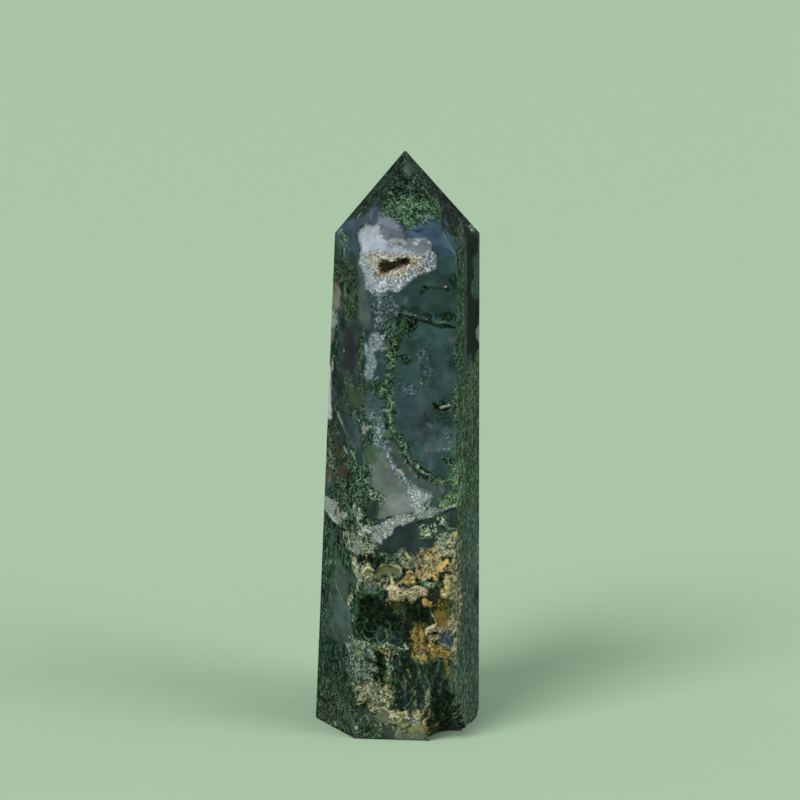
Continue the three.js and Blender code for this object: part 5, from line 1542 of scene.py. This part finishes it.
# The small hollow high on the front, in millimetres, with the ends of its slanting middle line
HOLLOW_MIDDLE = np.array([-0.2, -9.6, 74.2])
HOLLOW_REACH, HOLLOW_FADE = 3.6, 1.2
RIM_WANDER, RIM_WAVE = 0.42, 0.9
RIM_FROM, RIM_TO = np.array([-1.45, 0.0, 73.8]), np.array([0.9, 0.0, 74.8])
RIM_PINCH, PINCH_FADE = 0.36, 1.5
# How deep under the facets a point counts as flat, as the crystals' bed and as worn stone
FLAT_DEPTH, BED_DEPTH = 0.03, 0.55
WORN_DEPTH, WORN_FADE, WORN_BELOW = 0.15, 0.2, 8.0
# Looks of the hollow, each with the depth where it starts and how gradually; the deeper ones darken it as
# painted shade
HOLLOW_LAYERS = (("ochre stain", 0.0, 0.15), ("vug wall", 0.3, 0.4), ("shaded vug floor", 0.9, 0.6))

# Its crystals: width in millimetres, number on a square millimetre, how their size varies, their shape
# in widths, and how far they tilt and turn
CRYSTAL_SIZE, CRYSTALS_PER_AREA = 0.16, 9.0
CRYSTAL_SHARES = (0.55, 1.6)
PRISM_HEIGHT, POINT_HEIGHT, POINT_WIDTH = 1.2, 0.55, 0.12
CRYSTAL_TILT, FULL_TURN = 0.6, 6.3
DRUSE_OCHRE = (0.21, 0.165, 0.06, 1.0)
DRUSE_CLEAR = (0.44, 0.42, 0.3, 1.0)


def hollow_share(points):
    """One in the hollow and round its rim, falling to nothing a little way off."""
    away = np.linalg.norm(points - HOLLOW_MIDDLE, axis=1)
    return smooth_step((HOLLOW_REACH - away) / HOLLOW_FADE)


def break_rim(points):
    """Moves the hollow's rim and walls about, so that it looks broken rather than drilled."""
    share = hollow_share(points)
    wander = np.stack([cloud(points, RIM_WAVE, seed) for seed in (21, 22, 23)], axis=1)
    flat = depth_under_facets(points) < FLAT_DEPTH
    front = NORMALS[1]
    wander[flat] -= (wander[flat] @ front)[:, None] * front
    return points + wander * RIM_WANDER * share[:, None] + pinch(points) * share[:, None]


def pinch(points):
    """Draws the hollow's mouth together towards its slanting middle line."""
    front = NORMALS[1]
    beside = np.delete(OFFSETS - points @ NORMALS.T, 1, axis=1).min(axis=1)
    flat = points * (1.0, 0.0, 1.0)
    way = (RIM_TO - RIM_FROM) / np.linalg.norm(RIM_TO - RIM_FROM)
    along = np.clip((flat - RIM_FROM) @ way, 0.0, np.linalg.norm(RIM_TO - RIM_FROM))
    pull = RIM_FROM + along[:, None] * way - flat
    pull[:, 1] = -(pull @ front) / front[1]
    return pull * RIM_PINCH * smooth_step(beside / PINCH_FADE)[:, None]


def paint_hollow(paint):
    """Ochre walls, with painted shade darkening them towards the back of the hollow."""
    deep = depth_under_facets(paint.points)
    share = hollow_share(paint.points)
    for look, start, fade in HOLLOW_LAYERS:
        paint.lay(look, share * smooth_step((deep - start) / fade))
    return share * smooth_step(deep / WORN_FADE)


# Zones of the stone in the order of painting, each given the same four tools of the painter
ZONES = (paint_tip, paint_upper_left, paint_upper_middle, paint_upper_right, paint_quartz,
         paint_middle_left, paint_middle_right, paint_seam, paint_cells_below_seam, paint_cream_band,
         paint_triangle, paint_lower_left, paint_lower_right, paint_foot, paint_hidden_side)


def store_colour(mesh, name, values):
    """Keeps four numbers for each point of a mesh under a name."""
    layer = mesh.attributes.new(name, "FLOAT_COLOR", "POINT")
    layer.data.foreach_set("color", np.ascontiguousarray(values, dtype=np.float32).ravel())


def paint_stone(mesh):
    """Paints the pattern that the photo shows, and the hidden side in the same manner."""
    points = np.empty(len(mesh.vertices) * 3, dtype=np.float32)
    mesh.vertices.foreach_get("co", points)
    paint = Paint(points.reshape(-1, 3).astype(float) / MM)
    paint_ground(paint)
    for paint_zone in ZONES:
        paint_zone(paint.area, paint.line, paint.spot, paint.hairs)
    matte = paint_hollow(paint)
    worn = smooth_step((depth_under_facets(paint.points) - WORN_DEPTH) / WORN_FADE)
    matte = np.maximum(matte, worn * (paint.points[:, 2] < WORN_BELOW))
    ones = np.ones((len(matte), 1))
    store_colour(mesh, "body", np.hstack([paint.coat[:, :3], matte[:, None]]))
    store_colour(mesh, "figure", np.hstack([paint.coat[:, 3:6], ones]))
    store_colour(mesh, "patterns", paint.coat[:, 6:])


def hollow_bed(stone):
    """The hollow's walls alone, as a mesh for crystals to grow on."""
    bm = bmesh.new()
    bm.from_mesh(stone.data)
    middles = np.array([face.calc_center_median() for face in bm.faces]) / MM
    wall = (depth_under_facets(middles) > BED_DEPTH) & (hollow_share(middles) > 0.5)
    bmesh.ops.delete(bm, geom=[f for f, keep in zip(bm.faces[:], wall) if not keep], context="FACES")
    mesh = bpy.data.meshes.new("hollow bed")
    bm.to_mesh(mesh)
    bm.free()
    return mesh


def grow(tree, kind, inputs):
    """Adds a geometry node and gives its outputs."""
    return put(tree, kind, inputs, family="GeometryNode").node.outputs


def crystal_tree(material):
    """Geometry nodes that grow pointed six-sided crystals on a surface."""
    tree = bpy.data.node_groups.new("druse", "GeometryNodeTree")
    face = tree.interface
    face.new_socket("Geometry", in_out="INPUT", socket_type="NodeSocketGeometry")
    size = face.new_socket("Crystal size", in_out="INPUT", socket_type="NodeSocketFloat")
    density = face.new_socket("Density", in_out="INPUT", socket_type="NodeSocketFloat")
    face.new_socket("Geometry", in_out="OUTPUT", socket_type="NodeSocketGeometry")
    given = tree.nodes.new("NodeGroupInput").outputs
    result = tree.nodes.new("NodeGroupOutput")

    scatter = grow(tree, "DistributePointsOnFaces",
                   {"Mesh": given["Geometry"], "Density": given["Density"], "Seed": 4})
    prism = grow(tree, "MeshCylinder", {"Vertices": 6, "Radius": 0.5, "Depth": PRISM_HEIGHT})
    point = grow(tree, "ExtrudeMesh",
                 {"Mesh": prism["Mesh"], "Selection": prism["Top"], "Offset Scale": POINT_HEIGHT})
    crystal = grow(tree, "ScaleElements",
                   {"Geometry": point["Mesh"], "Selection": point["Top"], "Scale": POINT_WIDTH})

    low, high = (-CRYSTAL_TILT, -CRYSTAL_TILT, 0.0), (CRYSTAL_TILT, CRYSTAL_TILT, FULL_TURN)
    tilt = put(tree, "RandomValue", {0: low, 1: high, "Seed": 7}, family="FunctionNode",
               data_type="FLOAT_VECTOR")
    turn = put(tree, "RotateRotation", {"Rotation": scatter["Rotation"], "Rotate By": tilt},
               family="FunctionNode", rotation_space="LOCAL")
    least, most = CRYSTAL_SHARES
    share = put(tree, "RandomValue", {2: least, 3: most, "Seed": 9}, output=1, family="FunctionNode")
    scale = calculate(tree, "MULTIPLY", given["Crystal size"], share)

    crust = grow(tree, "InstanceOnPoints",
                 {"Points": scatter["Points"], "Instance": crystal[0], "Rotation": turn, "Scale": scale})
    crust = grow(tree, "RealizeInstances", {"Geometry": crust[0]})
    crust = grow(tree, "SetMaterial", {"Geometry": crust[0], "Material": material})
    tree.links.new(crust[0], result.inputs["Geometry"])
    return tree, size.identifier, density.identifier


def add_crystals(stone):
    """The hollow's crust of crystals as one piece."""
    material = druzy_material()
    bed = add_object("druzy_quartz", hollow_bed(stone))
    tree, size, density = crystal_tree(material)
    druse = bed.modifiers.new("druse", "NODES")
    druse.node_group = tree
    druse[size] = CRYSTAL_SIZE * MM
    druse[density] = CRYSTALS_PER_AREA / MM ** 2
    bpy.context.view_layer.update()
    grown = bed.evaluated_get(bpy.context.evaluated_depsgraph_get())
    mesh = bpy.data.meshes.new_from_object(grown)
    bed.modifiers.clear()
    bed.data = mesh
    bed.data.name = "druzy_quartz"
    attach(bed, "root")
    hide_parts("vug_crystals")


add_camera()
add_floor()
add_lights()

stone = add_object("moss_agate", stone_mesh())
paint_stone(stone.data)
stone.data.materials.append(polished_agate())
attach(stone, "root")
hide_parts("agate_point")
add_crystals(stone)
